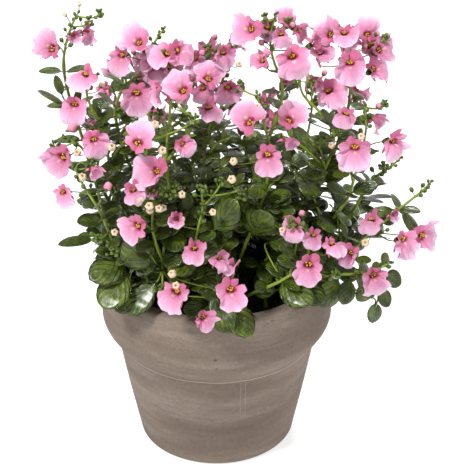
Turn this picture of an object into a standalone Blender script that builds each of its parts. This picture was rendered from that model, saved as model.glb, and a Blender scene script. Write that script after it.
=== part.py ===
"""Potted diascia: a washed clay pot filled with compost, leafy branching shoots rooted in it,
and the two-spurred pink flowers that the shoots carry.

Metres, +Z up. The whole plant and pot hang on one empty, placed so that the origin is the
centre of the assembly's lowest face. Every shoot is one grown piece, with its leaves and its
flower stalks; each open flower is a piece of its own, just clear of the stalk that carries it.
"""
import math

import bmesh
import bpy
from mathutils import Matrix, Vector
from mathutils.bvhtree import BVHTree

MM = 0.001
CLEARANCE = 0.0003          # between two pieces that touch

# Clay pot
POT_HEIGHT = 0.115
RIM_RADIUS = 0.070
RIM_BAND = 0.046            # from the lip down to the seam under the rim
RIM_CURVE = 0.017           # height of the turn from the seam out to the band
SEAM_RADIUS = 0.0612
BASE_RADIUS = 0.0482
LIP_WALL = 0.0085
BODY_WALL = 0.0070
FLOOR_THICKNESS = 0.008
HOLE_RADIUS = 0.008
LIP_ROUNDING = 0.0028
FOOT_ROUNDING = 0.0035
POT_SIDES = 48

# Compost
COMPOST_DROP = 0.012        # from the lip down to the compost
COMPOST_SIDES = 40
ROOTED_DEPTH = 0.014        # length of each stem below the compost's surface
POCKET_SIDES = 8

# Shoots
STEM_FOOT_RADIUS = 0.0017
STEM_TIP_RADIUS = 0.0009
STEM_SIDES = 5
STALK_RADIUS = 0.00062
LEAF_LENGTH = 0.029
LEAF_WIDTH_SHARE = 0.62
LEAF_THICKNESS = 0.0011
LEAF_ROOM = 0.0006          # free space kept round each leaf
LEAF_FREE_FROM = 0.0014     # the neck needs no free space nearer its own stem's middle than this

# Flowers
FLOWER_WIDTH = 0.0225
THROAT_DEPTH = 0.0030
SPUR_LENGTH = 0.0050
CALYX_DEPTH = 0.0042
PETAL_THICKNESS = 0.0011
STALK_REACH = 0.0075        # how far a stalk runs straight behind its flower

# The layout was planned over a mouth of this radius; a wider pot spreads the plant with it.
PLANNED_RIM_RADIUS = 0.070

# Each shoot: where it is rooted, then the points that it passes, in mm from the middle of the
# compost's surface; its pairs of leaves, how far up they start and stop, and the first pair's
# compass angle in degrees.
SHOOTS = {
    "shoot_tall_left": {
        "foot": (-30, 8),
        "route": [(-64, 6, 52), (-80, 8, 100), (-86, 4, 135), (-84, 2, 151), (-80, 0, 163), (-76, 0, 171)],
        "leaves": (3, 0.22, 0.66, 35),
    },
    "shoot_left_upper": {
        "foot": (-34, -6),
        "route": [(-58, -10, 66), (-64, -14, 106), (-72, -15, 130), (-66, -13, 139)],
        "leaves": (3, 0.25, 0.74, 70),
    },
    "shoot_left_middle": {
        "foot": (-30, -18),
        "route": [(-61, -24, 50), (-68, -34, 84), (-74, -34, 104), (-84, -30, 109)],
        "leaves": (3, 0.25, 0.72, 10),
    },
    "shoot_left_low": {
        "foot": (-27, -29),
        "route": [(-55, -44, 45), (-65, -50, 74), (-74, -48, 90), (-78, -44, 97)],
        "leaves": (4, 0.2, 0.72, 60),
    },
    "shoot_crown_left": {
        "foot": (-18, 12),
        "route": [(-47, 8, 64), (-58, 8, 104), (-53, 4, 124), (-42, 0, 136), (-34, -2, 154), (-29, 0, 161)],
        "leaves": (4, 0.2, 0.74, 100),
    },
    "shoot_crown_mid_left": {
        "foot": (-16, -10),
        "route": [(-28, -18, 83), (-26, -22, 114), (-24, -22, 131), (-19, -16, 141)],
        "leaves": (3, 0.3, 0.72, 30),
    },
    "shoot_crown_middle": {
        "foot": (-4, -4),
        "route": [(-7, -8, 80), (-3, -8, 109), (3, -4, 129), (7, 0, 142)],
        "leaves": (3, 0.35, 0.8, 80),
    },
    "shoot_front_left": {
        "foot": (-17, -24),
        "route": [(-33, -44, 72), (-39, -47, 98), (-36, -45, 115)],
        "leaves": (4, 0.24, 0.8, 45),
    },
    "shoot_front_low_left": {
        "foot": (-16, -36),
        "route": [(-32, -56, 50), (-35, -58, 75), (-28, -56, 90)],
        "leaves": (3, 0.3, 0.75, 0),
    },
    "shoot_front_middle": {
        "foot": (-5, -33),
        "route": [(-14, -56, 43), (-11, -60, 62), (-7, -52, 78)],
        "leaves": (4, 0.25, 0.85, 90),
    },
    "shoot_front_rim": {
        "foot": (0, -43),
        "route": [(0, -63, 24), (0, -70, 34), (8, -68, 42)],
        "leaves": (2, 0.4, 0.7, 15),
    },
    "shoot_tall_right": {
        "foot": (8, 6),
        "route": [(23, 2, 70), (37, 4, 112), (38, 4, 127), (33, 4, 141), (31, 4, 154), (34, 6, 167)],
        "leaves": (4, 0.2, 0.7, 55),
    },
    "shoot_bowed_right": {
        "foot": (24, -8),
        "route": [(61, -14, 78), (67, -16, 103), (59, -16, 117), (49, -12, 127), (47, -6, 136)],
        "leaves": (3, 0.25, 0.6, 5),
    },
    "shoot_top_right": {
        "foot": (24, 6),
        "route": [(61, 0, 65), (75, 2, 106), (77, 4, 125), (75, 6, 141), (77, 6, 158)],
        "leaves": (3, 0.25, 0.62, 85),
    },
    "shoot_middle_right": {
        "foot": (8, -18),
        "route": [(26, -36, 73), (30, -38, 103), (26, -34, 121), (23, -28, 134)],
        "leaves": (4, 0.25, 0.8, 35),
    },
    "shoot_right_upper": {
        "foot": (33, -13),
        "route": [(73, -20, 60), (80, -22, 84), (85, -16, 106), (84, -14, 121)],
        "leaves": (4, 0.24, 0.8, 50),
    },
    "shoot_right_spike": {
        "foot": (38, 3),
        "route": [(77, -4, 43), (91, -4, 69), (102, -4, 78), (107, -4, 83)],
        "leaves": (5, 0.2, 0.8, 25),
    },
    "shoot_far_right": {
        "foot": (39, -18),
        "route": [(79, -28, 37), (97, -30, 56), (109, -28, 66), (119, -26, 74), (122, -26, 78)],
        "leaves": (4, 0.25, 0.8, 95),
    },
    "shoot_right_low": {
        "foot": (29, -29),
        "route": [(66, -52, 33), (84, -56, 36), (98, -52, 40)],
        "leaves": (4, 0.3, 0.95, 40),
    },
    "shoot_front_right": {
        "foot": (14, -36),
        "route": [(40, -58, 35), (50, -60, 48), (53, -56, 60)],
        "leaves": (4, 0.28, 0.8, 75),
    },
    "shoot_back_left": {
        "foot": (-24, 30),
        "route": [(-46, 44, 50), (-56, 54, 88), (-54, 58, 112)],
        "leaves": (4, 0.2, 0.85, 50),
    },
    "shoot_back_middle": {
        "foot": (2, 28),
        "route": [(0, 42, 60), (4, 52, 100), (6, 54, 126)],
        "leaves": (4, 0.2, 0.85, 0),
    },
    "shoot_back_right": {
        "foot": (26, 28),
        "route": [(48, 42, 48), (58, 50, 84), (58, 50, 110)],
        "leaves": (4, 0.2, 0.85, 40),
    },
}

# Each flower: the shoot that carries it, the middle of its face in the same mm, its width as a
# share of a full flower, the compass angle that it faces (0 is the front, 90 the right), how far
# it looks up, and where its lip points (0 is down, 90 its right), all in degrees.
FLOWERS = {
    "flower_01": ("shoot_tall_left", (-92, -6, 154), 1.0, -25, 15, -120),
    "flower_02": ("shoot_tall_left", (-72, 6, 157), 0.85, 125, 10, 0),
    "flower_03": ("shoot_left_upper", (-73, -22, 142), 0.95, -20, 62, -30),
    "flower_04": ("shoot_left_upper", (-78, -26, 125), 0.95, -10, 25, 0),
    "flower_05": ("shoot_left_middle", (-66, -44, 112), 0.9, 25, 20, 10),
    "flower_06": ("shoot_left_middle", (-86, -40, 100), 1.1, -25, 15, -40),
    "flower_07": ("shoot_left_low", (-84, -52, 84), 0.8, -35, 20, 20),
    "flower_08": ("shoot_crown_left", (-44, -10, 158), 1.0, -15, 40, -110),
    "flower_09": ("shoot_crown_left", (-29, -13, 151), 1.0, 10, 55, 0),
    "flower_10": ("shoot_crown_left", (-44, -16, 127), 1.1, 0, 25, 0),
    "flower_11": ("shoot_crown_mid_left", (-19, -34, 140), 1.05, 0, 50, 0),
    "flower_12": ("shoot_crown_middle", (-4, -18, 141), 0.95, 15, 55, 10),
    "flower_13": ("shoot_front_left", (-41, -58, 121), 1.1, -10, 30, 170),
    "flower_14": ("shoot_front_left", (-34, -64, 103), 1.1, -15, 50, -60),
    "flower_15": ("shoot_front_low_left", (-44, -72, 74), 1.05, -30, 20, -45),
    "flower_16": ("shoot_front_middle", (-12, -74, 60), 0.9, -5, 50, 0),
    "flower_17": ("shoot_front_rim", (8, -84, 39), 1.15, 15, 35, 0),
    "flower_18": ("shoot_front_rim", (-23, -80, 36), 1.15, -15, 40, -20),
    "flower_19": ("shoot_tall_right", (18, -3, 162), 0.95, -40, 30, 60),
    "flower_20": ("shoot_bowed_right", (43, -20, 150), 1.15, 0, 22, 15),
    "flower_21": ("shoot_top_right", (72, -4, 158), 0.9, 0, 55, 0),
    "flower_22": ("shoot_top_right", (75, -12, 143), 1.05, 5, 28, 0),
    "flower_23": ("shoot_top_right", (65, -10, 126), 1.0, -20, 50, 0),
    "flower_24": ("shoot_top_right", (94, 4, 147), 0.9, 60, 30, 30),
    "flower_25": ("shoot_middle_right", (17, -46, 127), 1.15, -20, 35, -135),
    "flower_26": ("shoot_middle_right", (28, -58, 108), 1.1, 0, 25, 0),
    "flower_27": ("shoot_right_upper", (77, -38, 103), 1.1, 0, 25, 0),
    "flower_28": ("shoot_right_upper", (100, -24, 101), 1.0, 50, 20, 0),
    "flower_29": ("shoot_far_right", (106, -48, 51), 1.05, 40, 30, 0),
    "flower_30": ("shoot_front_right", (50, -76, 50), 1.1, 0, 30, -10),
    "flower_31": ("shoot_right_low", (87, -70, 40), 1.0, 20, 25, 0),
    "flower_32": ("shoot_back_left", (-60, 70, 112), 1.0, -145, 35, 0),
    "flower_33": ("shoot_back_middle", (-4, 68, 122), 1.05, 170, 40, 0),
    "flower_34": ("shoot_back_right", (60, 64, 104), 1.0, 150, 35, 0),
    "flower_35": ("shoot_back_middle", (14, 70, 84), 1.0, 165, 20, 0),
}

MATERIALS = {
    "clay": ((0.27, 0.21, 0.175), 0.9),
    "compost": ((0.02, 0.014, 0.01), 0.95),
    "foliage": ((0.045, 0.13, 0.025), 0.45),
    "petals": ((0.88, 0.36, 0.52), 0.6),
}

# Heights and radii that several pieces share
compostTop = POT_HEIGHT - COMPOST_DROP
seamHeight = POT_HEIGHT - RIM_BAND
mouthRadius = RIM_RADIUS - LIP_WALL
spread = RIM_RADIUS / PLANNED_RIM_RADIUS


def in_plant(point):
    """The place of a layout point, given in mm from the middle of the compost's surface."""
    x, y, z = point
    return Vector((x * MM * spread, y * MM * spread, compostTop + z * MM))


def material(name):
    """The Principled material of that name, made the first time that it is asked for."""
    found = bpy.data.materials.get(name)
    if found:
        return found
    color, roughness = MATERIALS[name]
    made = bpy.data.materials.new(name)
    made.use_nodes = True
    shader = made.node_tree.nodes["Principled BSDF"]
    shader.inputs["Base Color"].default_value = (*color, 1)
    shader.inputs["Roughness"].default_value = roughness
    shader.inputs["Metallic"].default_value = 0
    made.diffuse_color = (*color, 1)
    return made


def mesh_of(name, vertices, faces):
    """A mesh of these points and faces, with its faces turned outwards."""
    mesh = bpy.data.meshes.new(name)
    mesh.from_pydata(vertices, [], faces)
    shape = bmesh.new()
    shape.from_mesh(mesh)
    bmesh.ops.recalc_face_normals(shape, faces=shape.faces)
    shape.to_mesh(mesh)
    shape.free()
    return mesh


def add_object(name, mesh, finish):
    made = bpy.data.objects.new(name, mesh)
    bpy.context.collection.objects.link(made)
    mesh.materials.clear()
    mesh.materials.append(material(finish))
    return made


def shade_round(mesh, angle):
    mesh.shade_smooth()
    mesh.set_sharp_from_angle(angle=math.radians(angle))


def arc(centre, radius, start, end, steps):
    """Points (r, z) round an arc, from one angle to the other, both in degrees."""
    points = []
    for step in range(steps + 1):
        angle = math.radians(start + (end - start) * step / steps)
        points.append((centre[0] + radius * math.cos(angle), centre[1] + radius * math.sin(angle)))
    return points


def turned(name, profile, sides):
    """A closed ring of this (r, z) profile. A point with r = 0 makes a pole."""
    vertices, rings = [], []
    for r, z in profile:
        count = sides if r > 0 else 1
        rings.append([len(vertices) + i for i in range(count)])
        for i in range(count):
            angle = 2 * math.pi * i / sides
            vertices.append((r * math.cos(angle), r * math.sin(angle), z))
    faces = []
    for k, ring in enumerate(rings):
        other = rings[(k + 1) % len(rings)]
        for i in range(sides):
            corners = [ring[i % len(ring)], ring[(i + 1) % len(ring)]]
            corners += [other[(i + 1) % len(other)], other[i % len(other)]]
            corners = list(dict.fromkeys(corners))
            if len(corners) > 2:
                faces.append(corners)
    return mesh_of(name, vertices, faces)


def inner_radius(height):
    """The pot's inner wall: upright in the rim, then tapering to the floor."""
    turn = seamHeight + RIM_CURVE
    floor_radius = BASE_RADIUS - BODY_WALL
    if height >= turn:
        return mouthRadius
    body = SEAM_RADIUS - BODY_WALL
    if height >= seamHeight:
        return body + (mouthRadius - body) * (height - seamHeight) / RIM_CURVE
    return floor_radius + (body - floor_radius) * (height - FLOOR_THICKNESS) / (seamHeight - FLOOR_THICKNESS)


def build_pot():
    swell = RIM_RADIUS - SEAM_RADIUS
    lip = POT_HEIGHT - LIP_ROUNDING
    profile = [(HOLE_RADIUS, 0)]
    profile += arc((BASE_RADIUS - FOOT_ROUNDING, FOOT_ROUNDING), FOOT_ROUNDING, -90, -8, 3)
    profile += [(SEAM_RADIUS - 0.0004, seamHeight - 0.0008), (SEAM_RADIUS, seamHeight)]
    for step in (0.25, 0.5, 0.75, 1.0):     # the S-shaped turn under the rim
        ease = math.sin(step * math.pi / 2)
        profile.append((SEAM_RADIUS + swell * ease, seamHeight + RIM_CURVE * step))
    profile += arc((RIM_RADIUS - LIP_ROUNDING, lip), LIP_ROUNDING, 0, 90, 3)
    inner_rounding = LIP_ROUNDING / 2
    profile += arc((mouthRadius + inner_rounding, POT_HEIGHT - inner_rounding), inner_rounding, 90, 180, 2)
    for height in (seamHeight + RIM_CURVE, seamHeight, FLOOR_THICKNESS):
        profile.append((inner_radius(height), height))
    profile.append((HOLE_RADIUS, FLOOR_THICKNESS))
    pot = add_object("clay_pot", turned("clay_pot", profile, POT_SIDES), "clay")
    shade_round(pot.data, 40)
    return pot


def build_compost():
    """The compost fills the pot to below its lip, with a pocket for each rooted stem."""
    heights = [FLOOR_THICKNESS + CLEARANCE, seamHeight, seamHeight + RIM_CURVE, compostTop]
    profile = [(0, heights[0])]
    profile += [(inner_radius(height) - CLEARANCE, height) for height in heights]
    profile.append((0, compostTop))
    compost = add_object("compost", turned("compost", profile, COMPOST_SIDES), "compost")
    pockets = []
    for shoot in SHOOTS.values():
        bottom = in_plant((*shoot["foot"], 0)) - Vector((0, 0, ROOTED_DEPTH + CLEARANCE))
        top = bottom + Vector((0, 0, 2 * ROOTED_DEPTH))
        radius = (STEM_FOOT_RADIUS + CLEARANCE) / math.cos(math.pi / POCKET_SIDES)
        pockets.append(tube([bottom, top], [radius] * 2, POCKET_SIDES))
    fuse(compost, pockets, "DIFFERENCE")
    shade_round(compost.data, 40)
    return compost


def smooth_route(points, steps):
    """A smooth curve through the points, with this many steps in each span."""
    ends = [2 * points[0] - points[1], *points, 2 * points[-1] - points[-2]]
    route = []
    for before, a, b, after in zip(ends, ends[1:], ends[2:], ends[3:]):
        span = (b - a).length
        leaving = (b - before).normalized() * span
        arriving = (after - a).normalized() * span
        for step in range(steps):
            t = step / steps
            route.append(a * (1 + 2 * t) * (1 - t) ** 2 + leaving * t * (1 - t) ** 2
                         + b * t * t * (3 - 2 * t) - arriving * t * t * (1 - t))
    route.append(points[-1])
    return route


def tube(path, radii, sides):
    """Points and faces of a closed tube along the path."""
    vertices, faces = [], []
    across = None
    for k, (point, radius) in enumerate(zip(path, radii)):
        along = (path[min(k + 1, len(path) - 1)] - path[max(k - 1, 0)]).normalized()
        if across is None:
            across = along.orthogonal()
        across = (across - across.dot(along) * along).normalized()
        for i in range(sides):
            vertices.append(point + Matrix.Rotation(2 * math.pi * i / sides, 3, along) @ across * radius)
    for k in range(len(path) - 1):
        for i in range(sides):
            j = (i + 1) % sides
            faces.append((k * sides + i, k * sides + j, (k + 1) * sides + j, (k + 1) * sides + i))
    faces.append(tuple(reversed(range(sides))))
    faces.append(tuple(range((len(path) - 1) * sides, len(path) * sides)))
    return vertices, faces


def keep_largest(mesh):
    """Drops the crumbs that an exact Boolean can leave where two skins nearly coincide."""
    shape = bmesh.new()
    shape.from_mesh(mesh)
    waiting, groups = set(shape.verts), []
    while waiting:
        group, front = set(), [waiting.pop()]
        while front:
            vertex = front.pop()
            group.add(vertex)
            linked = {edge.other_vert(vertex) for edge in vertex.link_edges} & waiting
            waiting -= linked
            front += linked
        groups.append(group)
    groups.sort(key=len)
    bmesh.ops.delete(shape, geom=[v for group in groups[:-1] for v in group], context="VERTS")
    shape.to_mesh(mesh)
    shape.free()


def fuse(body, pieces, operation):
    """Joins the pieces, or cuts them, into the body in one exact Boolean, and keeps its result."""
    helpers = bpy.data.collections.new("helpers")
    for vertices, faces in pieces:
        helper = bpy.data.objects.new("helper", mesh_of("helper", vertices, faces))
        helpers.objects.link(helper)
    change = body.modifiers.new("fuse", "BOOLEAN")
    change.operation = operation
    change.solver = "EXACT"
    change.operand_type = "COLLECTION"
    change.collection = helpers
    bpy.context.view_layer.update()
    result = bpy.data.meshes.new_from_object(body.evaluated_get(bpy.context.evaluated_depsgraph_get()))
    keep_largest(result)
    body.modifiers.remove(change)
    old = body.data
    finish = old.materials[0]
    body.data = result
    result.materials.clear()
    result.materials.append(finish)
    bpy.data.meshes.remove(old)
    for helper in list(helpers.objects):
        bpy.data.meshes.remove(helper.data)
    bpy.data.collections.remove(helpers)
    body.data.name = body.name


def facing(compass, upwards):
    """The direction that a flower looks: compass 0 is -Y and 90 is +X."""
    turn, rise = math.radians(compass), math.radians(upwards)
    return Vector((math.sin(turn) * math.cos(rise), -math.cos(turn) * math.cos(rise), math.sin(rise)))


def flower_axes(compass, upwards, lip):
    """A flower's own right, up and forward directions, with its lip towards its down."""
    forward = facing(compass, upwards)
    right = Vector((math.cos(math.radians(compass)), math.sin(math.radians(compass)), 0))
    roll = Matrix.Rotation(math.radians(lip), 3, forward)
    right = roll @ right
    return right, forward.cross(right).normalized(), forward


# Each lobe: the angle of its middle round the flower (0 is the lip, at the bottom), its half
# angle, its reach as a share of the flower's half width, and the angle of the spur behind it.
LOBES = (
    (0, 40, 1.15, None),
    (68, 30, 0.95, 48),
    (140, 33, 0.82, None),
    (220, 33, 0.82, None),
    (292, 30, 0.95, 312),
)


def corolla(name, centre, width, compass, upwards, lip):
    """A five-lobed corolla: a shallow cup with a broad lip, two spurs and the calyx behind."""
    right, up, forward = flower_axes(compass, upwards, lip)
    half = FLOWER_WIDTH * width / 2

    def place(angle, reach, depth):
        turn = math.radians(angle)
        return centre + (right * math.sin(turn) - up * math.cos(turn)) * reach + forward * depth

    rim, notches, throat, back = [], [], [], []
    for middle, spread_angle, reach, spur in LOBES:
        notches.append(place(middle - spread_angle - 4, half * 0.5, -0.0006))
        rim.append(place(middle - spread_angle * 0.6, half * reach * 0.94, 0.0012))
        rim.append(place(middle + spread_angle * 0.6, half * reach * 0.94, 0.0012))
        throat.append(place(middle, half * 0.3, -PETAL_THICKNESS))
        if spur:
            back.append(place(spur, half * 0.42, -2.4 * PETAL_THICKNESS - SPUR_LENGTH))
        else:
            back.append(place(middle, half * 0.26, -2.4 * PETAL_THICKNESS))
    deep = centre - forward * THROAT_DEPTH
    end = centre - forward * (THROAT_DEPTH + CALYX_DEPTH)
    vertices = [*rim, *notches, *throat, *back, deep, end]
    faces = []
    for k in range(5):
        after = (k + 1) % 5
        edge = (2 * k, 2 * k + 1)
        notch, next_notch = 10 + k, 10 + after
        for ring, pole in ((15, 25), (20, 26)):
            inner, next_inner = ring + k, ring + after
            faces += [(inner, notch, edge[0]), (inner, *edge), (inner, edge[1], next_notch)]
            faces += [(inner, next_notch, next_inner), (pole, inner, next_inner)]
    return mesh_of(name, vertices, faces), end, forward


def leaf_piece(root, heading, normal, length, room=0.0):
    """Points and faces of one ovate leaf: a short neck, a folded blade and a pointed tip."""
    side = heading.cross(normal).normalized()
    normal = side.cross(heading).normalized()
    half = length * LEAF_WIDTH_SHARE / 2 + room
    thick = LEAF_THICKNESS / 2 + room
    # place along the leaf, half width, lift of the midrib, fold of the edges
    stations = ((0.0, 0.05, 0.0, 0.0), (0.42, 1.0, 0.06, 0.05), (0.74, 0.72, 0.05, 0.05))
    vertices, faces = [], []
    for along, wide, lift, fold in stations:
        middle = root + heading * length * along + normal * length * lift
        edge = side * max(half * wide, thick)
        raised = normal * length * fold
        vertices += [middle + edge + raised, middle + normal * thick, middle - edge + raised,
                     middle - normal * thick]
    vertices.append(root + heading * (length + room) - normal * length * 0.03)
    for k in range(len(stations) - 1):
        for i in range(4):
            j = (i + 1) % 4
            faces.append((4 * k + i, 4 * k + j, 4 * k + 4 + j, 4 * k + 4 + i))
    last = 4 * (len(stations) - 1)
    for i in range(4):
        faces.append((last + i, last + (i + 1) % 4, last + 4))
    faces.append((0, 3, 2, 1))
    return vertices, faces


def tree_of(piece):
    return BVHTree.FromPolygons(piece[0], piece[1])


def tree_of_mesh(mesh):
    return BVHTree.FromPolygons([v.co for v in mesh.vertices], [p.vertices for p in mesh.polygons])


def is_free(piece, obstacles):
    tree = tree_of(piece)
    return not any(tree.overlap(other) for other in obstacles)


def main_stem(shoot):
    """The stem's smooth path, from its rooted foot to its tip, and its radius at each point."""
    foot = in_plant((*shoot["foot"], 0))
    below = foot - Vector((0, 0, ROOTED_DEPTH))
    above = foot + Vector((0, 0, ROOTED_DEPTH / 2))
    path = [below] + smooth_route([foot, above] + [in_plant(p) for p in shoot["route"]], 2)
    last = len(path) - 1
    radii = [STEM_FOOT_RADIUS + (STEM_TIP_RADIUS - STEM_FOOT_RADIUS) * k / last for k in range(last + 1)]
    radii[-1] = STEM_TIP_RADIUS * 0.6
    return path, radii


def place_along(path, share):
    """The point and the direction at this share of the path's length."""
    lengths = [(b - a).length for a, b in zip(path, path[1:])]
    left = share * sum(lengths)
    for (a, b), length in zip(zip(path, path[1:]), lengths):
        if left <= length:
            return a.lerp(b, left / length), (b - a).normalized()
        left -= length
    return path[-1], (path[-1] - path[-2]).normalized()


def stalk_path(start, end, forward):
    """A stalk leaves its stem, bends over and comes up straight behind its flower."""
    gap_end = end - forward * CLEARANCE
    bend = gap_end - forward * STALK_REACH
    path = []
    for t in (0, 0.33, 0.66, 1):
        path.append(start * (1 - t) ** 2 + bend * 2 * t * (1 - t) + gap_end * t * t)
    return path


def grow_stalk(stem, end, forward, obstacles):
    """The shortest stalk from the upper stem to the flower that meets nothing else."""
    choices = []
    for share in (0.98, 0.94, 0.9, 0.86, 0.82, 0.78, 0.72, 0.66, 0.6):
        start, _ = place_along(stem, share)
        path = stalk_path(start, end, forward)
        wide = tube(path[1:], [STALK_RADIUS + CLEARANCE / 2] * 3, 4)
        length = sum((b - a).length for a, b in zip(path, path[1:]))
        choices.append((not is_free(wide, obstacles), length, share, path))
    choices.sort(key=lambda choice: choice[:3])
    return tube(choices[0][3], [STALK_RADIUS] * 4, 4)


def grow_leaves(stem, plan, obstacles):
    """Opposite pairs of leaves, each pair turned a quarter from the one below it."""
    pairs, first, last, compass = plan
    grown = []
    for k in range(pairs):
        share = first + (last - first) * k / (pairs - 1)
        root, along = place_along(stem, share)
        length = LEAF_LENGTH * (1 - 0.5 * share)
        for half_turn in (0, 180):
            leaf = free_leaf(root, along, compass + 90 * k + half_turn, length, obstacles)
            if leaf:
                grown.append(leaf)
                obstacles.append(tree_of(leaf))
    return grown


def free_leaf(root, along, compass, length, obstacles):
    """The first leaf near this heading that meets nothing, or None where there is no room."""
    for share in (1, 0.8, 0.62):
        for lift in (22, 45, 0):
            for swing in (0, 25, -25, 50, -50):
                heading = facing(compass + swing, lift)
                heading = (heading + along * 0.15).normalized()
                start = root - heading * STEM_TIP_RADIUS * 0.4
                normal = (along + Vector((0, 0, 1))).normalized()
                beyond_stem = root + heading * LEAF_FREE_FROM
                trial = leaf_piece(beyond_stem, heading, normal, length * share, LEAF_ROOM)
                if is_free(trial, obstacles):
                    return leaf_piece(start, heading, normal, length * share)
    return None


def build_plant(frame, pot, compost):
    """The flowers come first, then every stem with its stalks, then the leaves between them."""
    flowers, ends = {}, {}
    for name, (shoot, point, width, compass, upwards, lip) in FLOWERS.items():
        mesh, end, forward = corolla(name, in_plant(point), width, compass, upwards, lip)
        flowers[name] = add_object(name, mesh, "petals")
        ends.setdefault(shoot, []).append((end, forward))
    blooms = [tree_of_mesh(flower.data) for flower in flowers.values()]
    ground = [tree_of_mesh(pot.data), tree_of_mesh(compost.data)]

    stems = {name: main_stem(shoot) for name, shoot in SHOOTS.items()}
    stem_trees = {name: tree_of(tube(*stem, STEM_SIDES)) for name, stem in stems.items()}
    stalks = {}
    for name, (path, _) in stems.items():
        others = [tree for other, tree in stem_trees.items() if other != name]
        others += [tree_of(stalk) for grown in stalks.values() for stalk in grown]
        stalks[name] = []
        for end, forward in ends.get(name, []):
            stalks[name].append(grow_stalk(path, end, forward, ground + blooms + others))

    taken = ground + blooms
    for name in SHOOTS:
        taken += [tree_of(stalk) for stalk in stalks[name]]
    shoots = {}
    for name, shoot in SHOOTS.items():
        path, radii = stems[name]
        obstacles = taken + [tree for other, tree in stem_trees.items() if other != name]
        leaves = grow_leaves(path, shoot["leaves"], obstacles)
        taken += [tree_of(leaf) for leaf in leaves]
        shoots[name] = add_object(name, mesh_of(name, *tube(path, radii, STEM_SIDES)), "foliage")
        fuse(shoots[name], stalks[name] + leaves, "UNION")
        shade_round(shoots[name].data, 50)
    for piece in [*flowers.values(), *shoots.values()]:
        piece.parent = frame
    return flowers, shoots


def stand_on_origin(frame, pieces):
    """Moves the frame so that the origin is the middle of the box's bottom."""
    corners = [vertex.co for piece in pieces for vertex in piece.data.vertices]
    for axis in (0, 1):
        values = [corner[axis] for corner in corners]
        frame.location[axis] = -(min(values) + max(values)) / 2


def main():
    for old in list(bpy.data.objects):
        bpy.data.objects.remove(old)
    frame = bpy.data.objects.new("plant_frame", None)
    bpy.context.collection.objects.link(frame)
    pot = build_pot()
    compost = build_compost()
    pot.parent = frame
    compost.parent = frame
    flowers, shoots = build_plant(frame, pot, compost)
    stand_on_origin(frame, [pot, compost, *flowers.values(), *shoots.values()])


main()
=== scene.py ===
import math
import random

import bpy
from mathutils import Matrix, Vector, noise
from mathutils.bvhtree import BVHTree


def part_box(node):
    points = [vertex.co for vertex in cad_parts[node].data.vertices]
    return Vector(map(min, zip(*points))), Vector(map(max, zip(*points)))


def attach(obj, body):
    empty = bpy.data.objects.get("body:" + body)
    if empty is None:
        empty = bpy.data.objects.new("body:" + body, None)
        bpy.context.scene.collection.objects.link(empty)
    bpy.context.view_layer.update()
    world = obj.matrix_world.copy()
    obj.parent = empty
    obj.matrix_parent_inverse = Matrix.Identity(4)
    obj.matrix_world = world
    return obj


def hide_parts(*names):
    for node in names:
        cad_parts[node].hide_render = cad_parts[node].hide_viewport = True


# Potted diascia: the looks. Sizes below are in mm unless a note says otherwise, angles in degrees.

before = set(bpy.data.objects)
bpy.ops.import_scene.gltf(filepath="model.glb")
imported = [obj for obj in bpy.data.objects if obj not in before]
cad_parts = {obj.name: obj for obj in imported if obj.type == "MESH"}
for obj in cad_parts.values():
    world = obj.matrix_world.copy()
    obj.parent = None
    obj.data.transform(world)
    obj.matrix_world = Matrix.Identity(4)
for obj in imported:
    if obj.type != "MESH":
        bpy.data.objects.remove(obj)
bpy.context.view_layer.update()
mm = 0.001

potLow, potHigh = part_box("clay_pot")
compostLow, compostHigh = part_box("compost")
potAxis = Vector(((potLow.x + potHigh.x) / 2, (potLow.y + potHigh.y) / 2, 0))
compostTop = compostHigh.z
rimRadius = (potHigh.x - potLow.x) / 2
plannedRim = 70                     # the plant was laid out over a pot of this outer radius
spread = rimRadius / (plannedRim * mm)
upright = Vector((0, 0, 1))
fifths = (0, 0.2, 0.4, 0.6, 0.8, 1)

print("frame loaded, pot axis at", [round(v, 4) for v in potAxis])


# Places and directions

def inPlant(point):
    # a layout point, given in mm from the middle of the compost's surface
    x, y, z = point
    return potAxis + Vector((x * mm * spread, y * mm * spread, compostTop + z * mm))


def facing(compass, upwards):
    turn, rise = math.radians(compass), math.radians(upwards)
    return Vector((math.sin(turn) * math.cos(rise), -math.cos(turn) * math.cos(rise), math.sin(rise)))


def ease(value, low, high):
    t = min(max((value - low) / (high - low), 0), 1)
    return t * t * (3 - 2 * t)


def smoothRoute(points, steps):
    ends = [2 * points[0] - points[1], *points, 2 * points[-1] - points[-2]]
    route = []
    for before, a, b, after in zip(ends, ends[1:], ends[2:], ends[3:]):
        span = (b - a).length
        leaving = (b - before).normalized() * span
        arriving = (after - a).normalized() * span
        for step in range(steps):
            t = step / steps
            route.append(a * (1 + 2 * t) * (1 - t) ** 2 + leaving * t * (1 - t) ** 2
                         + b * t * t * (3 - 2 * t) - arriving * t * t * (1 - t))
    route.append(points[-1])
    return route


def pathLength(path):
    return sum((b - a).length for a, b in zip(path, path[1:]))


def placeAlong(path, share):
    left = share * pathLength(path)
    for a, b in zip(path, path[1:]):
        length = (b - a).length
        if left <= length:
            return a.lerp(b, left / length), (b - a).normalized()
        left -= length
    return path[-1], (path[-1] - path[-2]).normalized()


# Shapes are gathered in plain lists first, and become one mesh at the end

def newShape():
    return {"points": [], "coords": [], "tints": [], "faces": [], "finishes": []}


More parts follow.
